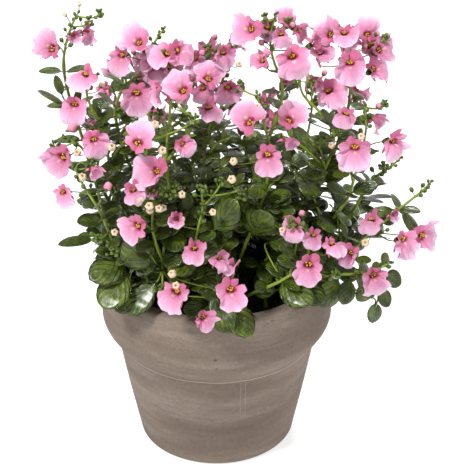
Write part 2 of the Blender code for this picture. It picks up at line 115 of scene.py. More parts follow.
def addGrid(shape, rows, coords, finish=0, tint=0.5):
    # rings of points joined into a skin with closed ends; finish may be a function of the place in a ring
    first, wide = len(shape["points"]), len(rows[0])
    finishAt = finish if callable(finish) else lambda i: finish
    for row, coordRow in zip(rows, coords):
        shape["points"] += row
        shape["coords"] += coordRow
        shape["tints"] += [tint] * wide
    for k in range(len(rows) - 1):
        start = first + k * wide
        for i in range(wide):
            j = (i + 1) % wide
            shape["faces"].append((start + i, start + j, start + wide + j, start + wide + i))
            shape["finishes"].append(finishAt(i))
    last = first + (len(rows) - 1) * wide
    shape["faces"].append(tuple(range(first + wide - 1, first - 1, -1)))
    shape["faces"].append(tuple(range(last, last + wide)))
    shape["finishes"] += [finishAt(0)] * 2


def addTube(shape, path, radii, sides, finish=0, tint=0.5):
    rows, coords, across = [], [], None
    for k, (point, radius) in enumerate(zip(path, radii)):
        along = (path[min(k + 1, len(path) - 1)] - path[max(k - 1, 0)]).normalized()
        across = along.orthogonal() if across is None else across
        across = (across - across.dot(along) * along).normalized()
        rows.append([point + Matrix.Rotation(2 * math.pi * i / sides, 3, along) @ across * radius
                     for i in range(sides)])
        coords.append([(i / sides, k / (len(path) - 1)) for i in range(sides)])
    addGrid(shape, rows, coords, finish, tint)


def sized(profile, wide, tall):
    return [(radius * wide, height * tall) for radius, height in profile]


def addTurned(shape, base, along, profile, sides, finish=0, tint=0.5, wobble=None):
    # profile points are (radius, height) along the axis; wobble(angle, share) scales the radius
    across = along.orthogonal().normalized()
    other = along.cross(across)
    rows, coords = [], []
    for k, (radius, height) in enumerate(profile):
        share = k / (len(profile) - 1)
        row = []
        for i in range(sides):
            angle = 2 * math.pi * i / sides
            reach = radius * (wobble(angle, share) if wobble else 1)
            outward = across * math.cos(angle) + other * math.sin(angle)
            row.append(base + along * height + outward * reach)
        rows.append(row)
        coords.append([(i / sides, share) for i in range(sides)])
    addGrid(shape, rows, coords, finish, tint)


def finishShape(name, shape, materials, replaced=()):
    mesh = bpy.data.meshes.new(name)
    mesh.from_pydata(shape["points"], [], shape["faces"])
    uv = mesh.uv_layers.new(name="ownCoords")
    values = []
    for loop in mesh.loops:
        values += shape["coords"][loop.vertex_index]
    uv.data.foreach_set("uv", values)
    tint = mesh.attributes.new("tint", "FLOAT", "POINT")
    tint.data.foreach_set("value", shape["tints"])
    mesh.polygons.foreach_set("material_index", shape["finishes"])
    for made in materials:
        mesh.materials.append(made)
    mesh.shade_smooth()
    mesh.validate()
    piece = bpy.data.objects.new(name, mesh)
    bpy.context.scene.collection.objects.link(piece)
    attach(piece, "root")
    if replaced:
        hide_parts(*replaced)
    return piece


# Node helpers

def newMaterial(name, roughness, specular):
    made = bpy.data.materials.new(name)
    made.use_nodes = True
    shader = made.node_tree.nodes["Principled BSDF"]
    shader.inputs["Roughness"].default_value = roughness
    shader.inputs["Specular IOR Level"].default_value = specular
    return made, made.node_tree, shader


def newGroup(name, inputs, outputs):
    tree = bpy.data.node_groups.new(name, "ShaderNodeTree")
    for label, kind, value in inputs:
        socket = tree.interface.new_socket(name=label, in_out="INPUT", socket_type=kind)
        socket.default_value = value
    for label, kind in outputs:
        tree.interface.new_socket(name=label, in_out="OUTPUT", socket_type=kind)
    return tree, tree.nodes.new("NodeGroupInput"), tree.nodes.new("NodeGroupOutput")


def useGroup(tree, group, **values):
    node = tree.nodes.new("ShaderNodeGroup")
    node.node_tree = group
    for label, value in values.items():
        node.inputs[label].default_value = value
    return node


def compute(tree, operation, a, b=None):
    node = tree.nodes.new("ShaderNodeMath")
    node.operation = operation
    for socket, value in zip(node.inputs, (a, b)):
        if isinstance(value, (int, float)):
            socket.default_value = value
        elif value is not None:
            tree.links.new(value, socket)
    return node.outputs[0]


def times(tree, a, b):
    return compute(tree, "MULTIPLY", a, b)


def plus(tree, a, b):
    return compute(tree, "ADD", a, b)


def minus(tree, a, b):
    return compute(tree, "SUBTRACT", a, b)


def mapRange(tree, value, low, high, outLow=0.0, outHigh=1.0, smooth=True):
    node = tree.nodes.new("ShaderNodeMapRange")
    node.interpolation_type = "SMOOTHSTEP" if smooth else "LINEAR"
    tree.links.new(value, node.inputs["Value"])
    labels = ("From Min", "From Max", "To Min", "To Max")
    for label, number in zip(labels, (low, high, outLow, outHigh)):
        node.inputs[label].default_value = number
    return node.outputs["Result"]


def mixColors(tree, factor, a, b):
    node = tree.nodes.new("ShaderNodeMix")
    node.data_type = "RGBA"
    # input 0 is the factor, inputs 6 and 7 are the two colours, and output 2 is the mixed one
    tree.links.new(factor, node.inputs[0])
    for socket, value in zip(node.inputs[6:8], (a, b)):
        if isinstance(value, tuple):
            socket.default_value = (*value, 1)
        else:
            tree.links.new(value, socket)
    return node.outputs[2]


def noiseOf(tree, vector, scale, detail=3.0, roughness=0.55):
    node = tree.nodes.new("ShaderNodeTexNoise")
    node.inputs["Scale"].default_value = scale
    node.inputs["Detail"].default_value = detail
    node.inputs["Roughness"].default_value = roughness
    tree.links.new(vector, node.inputs["Vector"])
    return node.outputs["Fac"]


def rampOf(tree, value, stops):
    node = tree.nodes.new("ShaderNodeValToRGB")
    elements = node.color_ramp.elements
    while len(elements) < len(stops):
        elements.new(0.5)
    for element, (place, color) in zip(elements, stops):
        element.position = place
        element.color = (*color, 1)
    tree.links.new(value, node.inputs["Fac"])
    return node.outputs["Color"]


def bumpOf(tree, height, strength, distance):
    node = tree.nodes.new("ShaderNodeBump")
    node.inputs["Strength"].default_value = strength
    node.inputs["Distance"].default_value = distance
    tree.links.new(height, node.inputs["Height"])
    return node.outputs["Normal"]


def objectCoords(tree, stretch=(1, 1, 1), turn=(0, 0, 0)):
    coords = tree.nodes.new("ShaderNodeTexCoord").outputs["Object"]
    mapping = tree.nodes.new("ShaderNodeMapping")
    mapping.inputs["Rotation"].default_value = turn
    mapping.inputs["Scale"].default_value = stretch
    tree.links.new(coords, mapping.inputs["Vector"])
    return mapping.outputs["Vector"]


def scaledColor(tree, color, factor):
    node = tree.nodes.new("ShaderNodeVectorMath")
    node.operation = "SCALE"
    tree.links.new(color, node.inputs[0])
    tree.links.new(factor, node.inputs["Scale"])
    return node.outputs[0]


def ownCoords(tree):
    # where this point lies across and along its own leaf, petal, stem or bud
    node = tree.nodes.new("ShaderNodeUVMap")
    node.uv_map = "ownCoords"
    split = tree.nodes.new("ShaderNodeSeparateXYZ")
    tree.links.new(node.outputs["UV"], split.inputs[0])
    return split.outputs["X"], split.outputs["Y"]


def tintOf(tree):
    node = tree.nodes.new("ShaderNodeAttribute")
    node.attribute_name = "tint"
    return node.outputs["Fac"]


def buildMottling():
    # the soft mottling that every grown or earthen surface shares
    tree, given, out = newGroup(
        "mottling",
        [("Color", "NodeSocketColor", (0.5, 0.5, 0.5, 1)), ("Scale", "NodeSocketFloat", 100.0),
         ("Amount", "NodeSocketFloat", 0.2)],
        [("Color", "NodeSocketColor"), ("Value", "NodeSocketFloat")])
    coords = tree.nodes.new("ShaderNodeTexCoord").outputs["Object"]
    texture = tree.nodes.new("ShaderNodeTexNoise")
    texture.inputs["Detail"].default_value = 4
    tree.links.new(coords, texture.inputs["Vector"])
    tree.links.new(given.outputs["Scale"], texture.inputs["Scale"])
    centred = minus(tree, texture.outputs["Fac"], 0.5)
    level = plus(tree, times(tree, centred, given.outputs["Amount"]), 1.0)
    tree.links.new(scaledColor(tree, given.outputs["Color"], level), out.inputs["Color"])
    tree.links.new(texture.outputs["Fac"], out.inputs["Value"])
    return tree


mottling = buildMottling()


def mottled(tree, color, scale, amount):
    node = useGroup(tree, mottling, Scale=scale, Amount=amount)
    if isinstance(color, tuple):
        node.inputs["Color"].default_value = (*color, 1)
    else:
        tree.links.new(color, node.inputs["Color"])
    return node.outputs["Color"], node.outputs["Value"]


# The clay pot

pot = {
    "height": 115, "rimRadius": 70, "seamHeight": 69, "seamRadius": 61.2, "baseRadius": 48.2,
    "mouthRadius": 61.5, "bodyWall": 7, "floor": 8, "holeRadius": 8, "turnHeight": 17,
    "bodySwell": 0.35, "lipRounding": 2.8, "innerRounding": 1.6, "footRounding": 3.5,
    "sides": 180, "wobble": 0.25,
    "clay": (0.205, 0.158, 0.126), "paleClay": (0.285, 0.226, 0.184), "darkClay": (0.150, 0.114, 0.090),
    # the last pale colour on the next line is used both for the real pale scratches and for the painted
    # highlight along the seam's crease
    "wash": (0.262, 0.226, 0.205), "slurry": (0.128, 0.110, 0.106), "paleScratchAndSeamHighlight": (0.40, 0.335, 0.285),
    "pitClay": (0.08, 0.06, 0.05), "chipClay": (0.05, 0.04, 0.035),
    "washStrength": 0.45, "streakStrength": 0.35, "slurryStrength": 0.6, "slurrySlant": 24,
    # how far down from the top the lip is painted paler as a highlight; thin lines (the seam's painted
    # highlight and the real scratches): how far beside their middle they start and finish fading, and how
    # strong they are
    "litLipBand": 3, "lineWander": 1.6, "seamHighlightLine": (0.25, 0.7, 0.75), "scratchLine": (0.08, 0.4, 0.35),
    "scratches": (17.5, 14.5),    # how far to the right of the pot's middle
    "scratchSpan": (38, 46, 66, 69), "chipBand": (108.5, 110, 112.5, 113.5),
}


def clayMaterial(values):
    made, tree, shader = newMaterial("washedClay", 0.88, 0.25)
    plain = objectCoords(tree)
    split = tree.nodes.new("ShaderNodeSeparateXYZ")
    tree.links.new(plain, split.inputs[0])
    sideways, depth, height = split.outputs

    wander = times(tree, noiseOf(tree, plain, 60, 2), values["lineWander"] * mm)

    def lineAt(coordinate, place, near, far, strength):
        off = compute(tree, "ABSOLUTE", minus(tree, plus(tree, coordinate, wander), place))
        return mapRange(tree, off, near * mm, far * mm, strength, 0)

    def between(coordinate, low, full, stillFull, high):
        rising = mapRange(tree, coordinate, low * mm, full * mm)
        return times(tree, rising, mapRange(tree, coordinate, stillFull * mm, high * mm, 1, 0))

    # broad bands from the wheel, a pale wash over them, and thin darker streaks
    broad = noiseOf(tree, objectCoords(tree, (1, 1, 5)), 9, 4, 0.6)
    bands = zip((0.3, 0.5, 0.68), (values["darkClay"], values["clay"], values["paleClay"]))
    color = rampOf(tree, broad, list(bands))
    smears = noiseOf(tree, objectCoords(tree, (1, 1, 9)), 14, 5, 0.62)
    wash = mapRange(tree, smears, 0.52, 0.68, 0, values["washStrength"])
    color = mixColors(tree, wash, color, values["wash"])
    streaks = mapRange(tree, noiseOf(tree, objectCoords(tree, (1, 1, 40)), 10, 6, 0.7), 0.58, 0.72)
    color = mixColors(tree, times(tree, streaks, values["streakStrength"]), color, values["darkClay"])

    # bluish slurry marks that run down aslant
    aslant = objectCoords(tree, (1, 1, 8), (0, math.radians(values["slurrySlant"]), 0))
    marks = mapRange(tree, noiseOf(tree, aslant, 16, 5, 0.65), 0.55, 0.66)
    patchy = mapRange(tree, noiseOf(tree, plain, 17, 2), 0.45, 0.6, 0, values["slurryStrength"])
    color = mixColors(tree, times(tree, marks, patchy), color, values["slurry"])
    color, _ = mottled(tree, color, 420, 0.35)
    color, grain = mottled(tree, color, 1300, 0.7)

    # painted highlights: a fine pale line along the crease where the rim meets the body, and the lip's
    # top painted paler as if lit from above
    seam = lineAt(height, (values["seamHeight"] + 0.6) * mm, *values["seamHighlightLine"])
    color = mixColors(tree, seam, color, values["paleScratchAndSeamHighlight"])
    top = values["height"] * mm
    # painted highlight: the top few mm of the lip are mixed toward pale clay, as if lit from above
    litLipTop = mapRange(tree, height, top - values["litLipBand"] * mm, top, 0, 0.45)
    color = mixColors(tree, litLipTop, color, values["paleClay"])

    # scattered pits
    pits = tree.nodes.new("ShaderNodeTexVoronoi")
    pits.inputs["Scale"].default_value = 95
    tree.links.new(plain, pits.inputs["Vector"])
    sparse = mapRange(tree, noiseOf(tree, plain, 45, 2), 0.55, 0.62)
    pit = times(tree, mapRange(tree, pits.outputs["Distance"], 0.05, 0.11, 1, 0), sparse)
    color = mixColors(tree, times(tree, pit, 0.7), color, values["pitClay"])

    # two thin pale scratches below the seam at the front, and dark chips along the lip
    front = mapRange(tree, depth, -0.03, -0.02, 1, 0)
    for place in values["scratches"]:
        line = times(tree, lineAt(sideways, potAxis.x + place * mm, *values["scratchLine"]), front)
        line = times(tree, line, between(height, *values["scratchSpan"]))
        color = mixColors(tree, line, color, values["paleScratchAndSeamHighlight"])
    broken = noiseOf(tree, objectCoords(tree, (1, 1, 2.5)), 260, 3, 0.6)
    chips = times(tree, between(height, *values["chipBand"]), mapRange(tree, broken, 0.62, 0.66, 0, 0.8))
    chips = times(tree, chips, mapRange(tree, sideways, 0.008, 0.016))
    color = mixColors(tree, chips, color, values["chipClay"])

    tree.links.new(color, shader.inputs["Base Color"])
    relief = plus(tree, times(tree, grain, 0.5), times(tree, streaks, -0.3))
    relief = plus(tree, relief, times(tree, pit, -1.2))
    tree.links.new(bumpOf(tree, relief, 0.7, 0.0005), shader.inputs["Normal"])
    tree.links.new(mapRange(tree, grain, 0.3, 0.7, 0.8, 0.95), shader.inputs["Roughness"])
    return made


def potProfile(values):
    # (radius, height) points: out along the foot, up the body, over the lip and down the inside
    top, seam, turn = values["height"], values["seamHeight"], values["turnHeight"]
    base, body = values["baseRadius"], values["seamRadius"]
    rim, mouth = values["rimRadius"], values["mouthRadius"]
    foot, lip, inner = values["footRounding"], values["lipRounding"], values["innerRounding"]
    hole, wall, floor = values["holeRadius"], values["bodyWall"], values["floor"]
    points = [(hole, 0.6), (hole + 0.6, 0), (base * 0.6, 0)]

    def arc(r, z, radius, start, end, steps):
        for step in range(steps + 1):
            angle = math.radians(start + (end - start) * step / steps)
            points.append((r + radius * math.cos(angle), z + radius * math.sin(angle)))

    arc(base - foot, foot, foot, -90, -8, 7)
    for step in range(1, 14):               # the body swells very slightly on its way up
        share = step / 14
        radius = base + (body - 0.6 - base) * share + values["bodySwell"] * math.sin(math.pi * share)
        points.append((radius, foot + (seam - 4.7) * share))
    points += [(body - 0.7, seam - 0.9), (body - 0.2, seam - 0.2), (body + 0.1, seam + 0.4)]
    for step in range(1, 12):               # the S-shaped turn under the rim
        share = step / 11
        swell = math.sin(share * math.pi / 2) ** 1.15
        points.append((body + (rim - body) * swell, seam + turn * share))
    points += [(rim, top - 20), (rim - 0.1, top - 10)]
    arc(rim - lip - 0.1, top - lip, lip, 0, 90, 7)
    arc(mouth + inner, top - inner, inner, 90, 180, 5)
    points += [(mouth, seam + turn), (body - wall, seam), (base - wall, floor), (hole, floor)]
    return points


def buildPot(values):
    def wobble(angle, share):
        # the slight unevenness of a thrown pot
        around = Vector((math.cos(angle) * 1.3, math.sin(angle) * 1.3, share * 2))
        return 1 + values["wobble"] * mm * noise.noise(around) / 0.06

    shape = newShape()
    profile = sized(potProfile(values), mm, mm)
    addTurned(shape, potAxis, upright, [*profile, profile[0]], values["sides"], wobble=wobble)
    # the profile is a closed loop, so it has no ends
    del shape["faces"][-2:], shape["finishes"][-2:]
    piece = finishShape("clayPot", shape, [clayMaterial(values)], ["clay_pot"])
    weld = piece.modifiers.new("weld", "WELD")
    weld.merge_threshold = 0.00001


# Compost

compost = {
    "sides": 120, "rings": 26, "depth": 6, "relief": 1.6, "sink": 0.6,
    "crumbs": 420, "crumbSize": (0.6, 1.9),
    "dark": (0.018, 0.016, 0.015), "light": (0.085, 0.078, 0.072), "fibre": (0.11, 0.07, 0.04),
}
crumbProfile = ((0.3, -0.5), (0.62, -0.2), (0.55, 0.2), (0.2, 0.42))


def compostMaterial(values):
    made, tree, shader = newMaterial("darkCompost", 0.95, 0.2)
    lumps = noiseOf(tree, objectCoords(tree), 420, 6, 0.7)
    color = rampOf(tree, lumps, [(0.35, values["dark"]), (0.7, values["light"])])
    fibre = mapRange(tree, noiseOf(tree, objectCoords(tree, (1, 4, 2)), 260, 3), 0.64, 0.7, 0, 0.5)
    color = mixColors(tree, fibre, color, values["fibre"])
    tree.links.new(color, shader.inputs["Base Color"])
    tree.links.new(bumpOf(tree, lumps, 0.9, 0.0009), shader.inputs["Normal"])
    return made


def buildCompost(values):
    shape = newShape()
    edge, rings = (compostHigh.x - compostLow.x) / 2, values["rings"]
    depth, most = values["depth"] * mm, values["relief"] * mm
    profile = [(edge * 0.1, -depth), (edge - 0.0015, -depth), (edge, -0.001)]
    profile += [(edge * (1 - k / rings) ** 0.8 * 0.995, -0.0002) for k in range(rings)]
    centre = Vector((potAxis.x, potAxis.y, compostTop))
    addTurned(shape, centre, upright, profile, values["sides"])
    for point in shape["points"]:
        if point.z > compostTop - 0.0005:
            rough = noise.fractal(point * 160, 0.8, 2.2, 4) * most
            point.z += max(min(rough, most), -most) - values["sink"] * mm
    draw = random.Random(5)
    for _ in range(values["crumbs"]):
        reach, turn = edge * 0.97 * math.sqrt(draw.random()), draw.uniform(0, 2 * math.pi)
        size = draw.uniform(*values["crumbSize"]) * mm
        offset = (reach * math.cos(turn), reach * math.sin(turn), draw.uniform(-0.4, 0.5) * mm)
        spot = centre + Vector(offset)
        tilt = facing(draw.uniform(0, 360), draw.uniform(20, 90))
        skew = draw.uniform(0, 6)
        addTurned(shape, spot, tilt, sized(crumbProfile, size, size), 6,
                  wobble=lambda angle, share: 1 + 0.28 * math.sin(3 * angle + skew))
    finishShape("compostBed", shape, [compostMaterial(values)], ["compost"])


# Greenery

leafValues = {
    "length": 27,                 # a full leaf, low on a shoot
    "widthShare": 0.66, "thickness": 0.28, "stations": 16, "teeth": 7, "toothDepth": 0.03,
    "across": 6, "petiole": 0.12, "fold": 0.12, "curl": 0.20, "quilting": 0.45, "droop": 26,
    # how quickly the blade widens at its foot and narrows at its tip, and where it is widest
    "footCurve": 0.56, "tipCurve": 0.62, "widest": 0.475,
    # side veins: how many pairs, how far they slant, how much they arch, how they crowd at the foot
    "veinPairs": 4.5, "veinSlant": 2.6, "veinArch": 1.15, "veinCrowding": 0.75,
    "deep": (0.038, 0.064, 0.004), "fresh": (0.132, 0.194, 0.012), "young": (0.30, 0.40, 0.035),
    "under": (0.11, 0.155, 0.035), "vein": (0.19, 0.25, 0.07),
    "stem": ((0.05, 0.08, 0.008), (0.18, 0.26, 0.02), (0.34, 0.44, 0.06)),
}


def buildVeins(values):
    # midrib and arching side veins, from a leaf's own across and along coordinates
    tree, given, out = newGroup(
        "leafVeins",
        [("Pairs", "NodeSocketFloat", 6.0), ("Slant", "NodeSocketFloat", 1.5)],
        [("Vein", "NodeSocketFloat"), ("Relief", "NodeSocketFloat")])
    across, along = ownCoords(tree)
    side = compute(tree, "ABSOLUTE", times(tree, minus(tree, across, 0.5), 2.0))
    arched = times(tree, compute(tree, "POWER", side, values["veinArch"]), given.outputs["Slant"])
    crowded = compute(tree, "POWER", along, values["veinCrowding"])
    order = minus(tree, times(tree, crowded, given.outputs["Pairs"]), arched)
    near = compute(tree, "ABSOLUTE", minus(tree, compute(tree, "FRACT", order), 0.5))
    sideVein = mapRange(tree, near, 0.0, 0.06, 1, 0)
    sideVein = times(tree, sideVein, mapRange(tree, side, 0.75, 1.0, 1, 0.2))
    rib = mapRange(tree, side, 0.03, 0.10, 1, 0)
    tree.links.new(compute(tree, "MAXIMUM", rib, times(tree, sideVein, 0.6)), out.inputs["Vein"])
    quilt = mapRange(tree, near, 0.0, 0.3, 0, 1)
    tree.links.new(minus(tree, quilt, times(tree, rib, 0.8)), out.inputs["Relief"])
    return tree


leafVeins = buildVeins(leafValues)


def leafMaterial(values, underside):
    made, tree, shader = newMaterial("leafUnderside" if underside else "leafBlade", 0.42, 0.35)
    veins = useGroup(tree, leafVeins, Pairs=values["veinPairs"], Slant=values["veinSlant"])
    patches = noiseOf(tree, objectCoords(tree), 120, 3)
    if underside:
        color = mixColors(tree, patches, values["under"], values["fresh"])
        color = mixColors(tree, times(tree, veins.outputs["Vein"], 0.5), color, values["vein"])
    else:
        color = mixColors(tree, mapRange(tree, patches, 0.35, 0.7), values["deep"], values["fresh"])
        color = mixColors(tree, mapRange(tree, tintOf(tree), 0.45, 1.0), color, values["young"])
        # painted shade: the blade is darkened toward deep green along the sunken vein grooves
        grooveShade = mapRange(tree, veins.outputs["Relief"], -0.2, 0.8, 0.2, 0)
        color = mixColors(tree, grooveShade, color, values["deep"])
        color = mixColors(tree, times(tree, veins.outputs["Vein"], 0.34), color, values["vein"])
    color, fine = mottled(tree, color, 700, 0.3)
    tree.links.new(color, shader.inputs["Base Color"])
    crinkle = noiseOf(tree, objectCoords(tree), 330, 3)
    relief = plus(tree, veins.outputs["Relief"], times(tree, fine, 0.25))
    relief = plus(tree, relief, times(tree, crinkle, 1.1))
    tree.links.new(bumpOf(tree, relief, 0.9, 0.0009), shader.inputs["Normal"])
    smoothest, roughest = (0.55, 0.7) if underside else (0.26, 0.42)
    tree.links.new(mapRange(tree, fine, 0.3, 0.7, smoothest, roughest), shader.inputs["Roughness"])
    shader.inputs["Coat Weight"].default_value = 0.0 if underside else 0.6
    shader.inputs["Coat Roughness"].default_value = 0.24
    return made


def stemMaterial(values):
    made, tree, shader = newMaterial("greenStem", 0.5, 0.4)
    color = rampOf(tree, tintOf(tree), list(zip((0.0, 0.5, 1.0), values["stem"])))
    color, fine = mottled(tree, color, 500, 0.5)
    tree.links.new(color, shader.inputs["Base Color"])
    tree.links.new(bumpOf(tree, fine, 0.3, 0.0002), shader.inputs["Normal"])
    return made


leafMaterials = [leafMaterial(leafValues, False), leafMaterial(leafValues, True)]
stemFinish = stemMaterial(leafValues)


def leafOutline(share):
    # half width of the blade at this share of its length, 1 at the widest
    if share <= 0 or share >= 1:
        return 0.0
    foot, tip, widest = (leafValues[key] for key in ("footCurve", "tipCurve", "widest"))
    return share ** foot * (1 - share) ** tip / (widest ** foot * (1 - widest) ** tip)


def addLeaf(shape, root, heading, normal, length, tint, draw, widthShare=None, droop=None):
    values = leafValues
    side = heading.cross(normal).normalized()
    normal = side.cross(heading).normalized()
    size = length / (values["length"] * mm)
    half = length * (widthShare or values["widthShare"]) / 2
    bend = math.radians(values["droop"] if droop is None else droop) / values["stations"]
    fold = values["fold"] * draw.uniform(0.4, 1.6)
    curl = draw.uniform(0.0, values["curl"])
    sway = draw.uniform(-0.5, 0.5)
    thick = values["thickness"] * mm * (0.6 + 0.4 * size)
    quilt = values["quilting"] * mm * size
    point, along = root.copy(), heading.copy()
    count, across = values["stations"], values["across"]
    rows, coords = [], []
    for k in range(count + 1):
        share = k / count
        blade = (share - values["petiole"]) / (1 - values["petiole"])
        outline = leafOutline(blade)
        tooth = values["toothDepth"] * (blade * values["teeth"] % 1 * 2 - 1) if 0.12 < blade < 0.95 else 0
        width = max(half * outline * (1 + tooth), 0.0005 if share < 0.3 else 0.0002)
        top, under = [], []
        for i in range(across + 1):
            v = 2 * i / across - 1
            lift = fold * abs(v) * width - curl * v * v * width * 1.2
            order = (max(blade, 0) ** values["veinCrowding"] * values["veinPairs"]
                     - abs(v) ** values["veinArch"] * values["veinSlant"])
            lift += quilt * (1 - abs(2 * (order % 1) - 1)) * (1 - v * v) * min(outline * 1.5, 1)
            edge = point + side * v * width + normal * lift
            top.append(edge)
            under.append(edge - normal * (thick * (1 - 0.85 * v * v) + 0.00002))
        rows.append(top + under[-2:0:-1])
        ring = [(i / across, max(blade, 0)) for i in range(across + 1)]
        coords.append(ring + ring[-2:0:-1])
        point = point + along * length / count
        along = (Matrix.Rotation(bend * (0.4 + 1.2 * share), 3, -side) @ along).normalized()
        along = (Matrix.Rotation(sway * 0.02, 3, normal) @ along).normalized()
        side = (side - side.dot(along) * along).normalized()
        normal = side.cross(along).normalized()
    addGrid(shape, rows, coords, lambda i: 0 if i < across else 1, tint)


# Flowers

flowerValues = {
    "width": 21.6, "around": 60, "thickness": 0.26, "throat": 2.0, "throatReach": 0.26,
    "ruffle": 0.95, "calyx": 4.2, "throatDepth": 3.0, "crumple": 0.30, "unevenness": 0.12,
    # ranges drawn from for each flower: how far its sides close, how its lobes lean, how its lip
    # bulges, and how big its lip and its other lobes have grown
    "fold": (-0.10, 0.50), "lean": (-0.25, 0.75), "shell": (0.12, 0.55),
    "lipGrowth": (0.90, 1.08), "lobeGrowth": (0.76, 1.16),
    # each lobe: the angle of its middle (0 is the lip), its half angle, its reach, its tip's notch
    "lobes": ((0, 70, 1.14, 0.06), (87, 35, 0.74, 0.03), (147, 32, 0.58, 0.02), (213, 32, 0.58, 0.02),
              (273, 35, 0.74, 0.03)),
    "raise": 0.20,       # how far the throat lies above the flower's middle, against the half width
    "heart": (0.34, 0.008, 0.045), "ring": (0.64, 0.05, 0.16), "deep": (0.76, 0.16, 0.33),
    "pink": (0.84, 0.30, 0.50), "pale": (0.91, 0.42, 0.64), "edge": (0.98, 0.62, 0.83),
    "upper": (0.70, 0.15, 0.31), "window": (0.75, 0.45, 0.03), "spot": (0.92, 0.76, 0.58),
    "bands": ((0.0, "heart"), (0.13, "ring"), (0.20, "deep"), (0.33, "pink"), (0.70, "pale"),
              (1.0, "edge")),
}


def petalMaterial(values):
    made, tree, shader = newMaterial("pinkPetal", 0.52, 0.35)
    shader.inputs["Subsurface Weight"].default_value = 0.10
    shader.inputs["Subsurface Radius"].default_value = (0.9, 0.35, 0.5)
    shader.inputs["Subsurface Scale"].default_value = 0.0012
    shader.inputs["Sheen Weight"].default_value = 0.12
    x, y = (times(tree, minus(tree, share, 0.5), 2.0) for share in ownCoords(tree))

    def distanceFrom(side, height):
        dx, dy = minus(tree, x, side), minus(tree, y, height)
        return compute(tree, "SQRT", plus(tree, times(tree, dx, dx), times(tree, dy, dy)))

    def spotAt(color, side, height, inner, outer, strength, paint):
        spot = mapRange(tree, distanceFrom(side, height), inner, outer, strength, 0)
        return mixColors(tree, spot, color, paint)

    # streaks that run outwards, different ones on each flower, over bands of colour round the throat
    reach = distanceFrom(0, 0)
    rays = tree.nodes.new("ShaderNodeCombineXYZ")
    tree.links.new(times(tree, compute(tree, "ARCTAN2", x, y), 11.0), rays.inputs["X"])
    tree.links.new(times(tree, reach, 1.2), rays.inputs["Y"])
    tree.links.new(times(tree, tintOf(tree), 40.0), rays.inputs["Z"])
    streak = noiseOf(tree, rays.outputs[0], 1.6, 4, 0.6)
    shifted = plus(tree, reach, times(tree, minus(tree, streak, 0.5), 0.16))
    color = rampOf(tree, shifted, [(place, values[band]) for place, band in values["bands"]])

    # the lobes above the throat are darker than the lip
    above = times(tree, mapRange(tree, y, -0.08, 0.34, 0, 0.85), mapRange(tree, reach, 0.15, 0.3))
    color = mixColors(tree, above, color, values["upper"])
    color = mixColors(tree, mapRange(tree, streak, 0.52, 0.66, 0, 0.34), color, values["upper"])

    # dark red blotches beside the throat, yellow windows over it, and a cream spot under it
    for side in (-1, 1):
        color = spotAt(color, side * 0.18, -0.02, 0.04, 0.14, 0.85, values["heart"])
        color = spotAt(color, side * 0.07, 0.15, 0.02, 0.06, 0.8, values["window"])
    color = spotAt(color, 0, -0.24, 0.03, 0.12, 0.75, values["spot"])
    fade = mapRange(tree, tintOf(tree), 0.0, 1.0, 0.85, 1.06, smooth=False)
    tree.links.new(scaledColor(tree, color, fade), shader.inputs["Base Color"])
    tree.links.new(bumpOf(tree, streak, 0.8, 0.0009), shader.inputs["Normal"])
    return made


def plainMaterial(name, base, tip, roughness, scale=600, amount=0.3, turn=(0.15, 0.85)):
    # a colour that changes from base to tip along the piece's own length
    made, tree, shader = newMaterial(name, roughness, 0.4)
    _, along = ownCoords(tree)
    color = mixColors(tree, mapRange(tree, along, *turn), base, tip)
    color, fine = mottled(tree, color, scale, amount)
    tree.links.new(color, shader.inputs["Base Color"])
    tree.links.new(bumpOf(tree, fine, 0.3, 0.0002), shader.inputs["Normal"])
    return made


petalFinish = petalMaterial(flowerValues)
calyxFinish = plainMaterial("calyxGreen", (0.05, 0.085, 0.012), (0.12, 0.18, 0.03), 0.5)
antherFinish = plainMaterial("yellowAnther", (0.45, 0.26, 0.02), (0.72, 0.48, 0.04), 0.6, 1500, 0.5)
spurFinish = plainMaterial("pinkSpur", (0.76, 0.25, 0.40), (0.55, 0.14, 0.26), 0.5)
creamFinish = plainMaterial("creamBud", (0.84, 0.66, 0.48), (0.50, 0.31, 0.10), 0.55, 700, 0.7,
                            (0.60, 0.95))
blushFinish = plainMaterial("blushBud", (0.60, 0.12, 0.24), (0.80, 0.33, 0.44), 0.5, 900, 0.25)
heartMaterials = [spurFinish, calyxFinish, antherFinish]
budMaterials = [creamFinish, calyxFinish, blushFinish]


def flowerAxes(compass, upwards, lip):
    forward = facing(compass, upwards)
    right = Vector((math.cos(math.radians(compass)), math.sin(math.radians(compass)), 0))
    right = Matrix.Rotation(math.radians(lip), 3, forward) @ right
    return right, forward.cross(right).normalized(), forward


def angleBetween(a, b):
    return abs((a - b + 180) % 360 - 180)


def lobeReach(angle, lobes):
    # how far the corolla reaches at this angle against its half width, and how near a lobe's middle
    # this is (0 to 1)
    best, tip = 0.0, 0.0
    for middle, halfAngle, reach, notch in lobes:
        off = angleBetween(angle, middle) / halfAngle
        if off < 1:
            rounded = math.cos(off * math.pi / 2) ** 0.38
            own = reach * (0.44 + 0.56 * rounded) - notch * math.exp(-(off / 0.16) ** 2)
            if own > best:
                best, tip = own, 1 - off
    return max(best, 0.42), tip


def throatOf(centre, axes, half):
    # the lip is the biggest lobe, so the throat lies above the middle of the flower
    return centre + axes[1] * half * flowerValues["raise"]


# where the rings of a corolla's front and back lie, as shares of the way from its throat to its edge
frontShares = (0.05, 0.11, 0.17, 0.23, 0.30, 0.38, 0.48, 0.58, 0.68, 0.78, 0.87, 0.94, 0.985, 1.0)
backShares = (0.985, 0.9, 0.72, 0.5, 0.34, 0.22, 0.12)


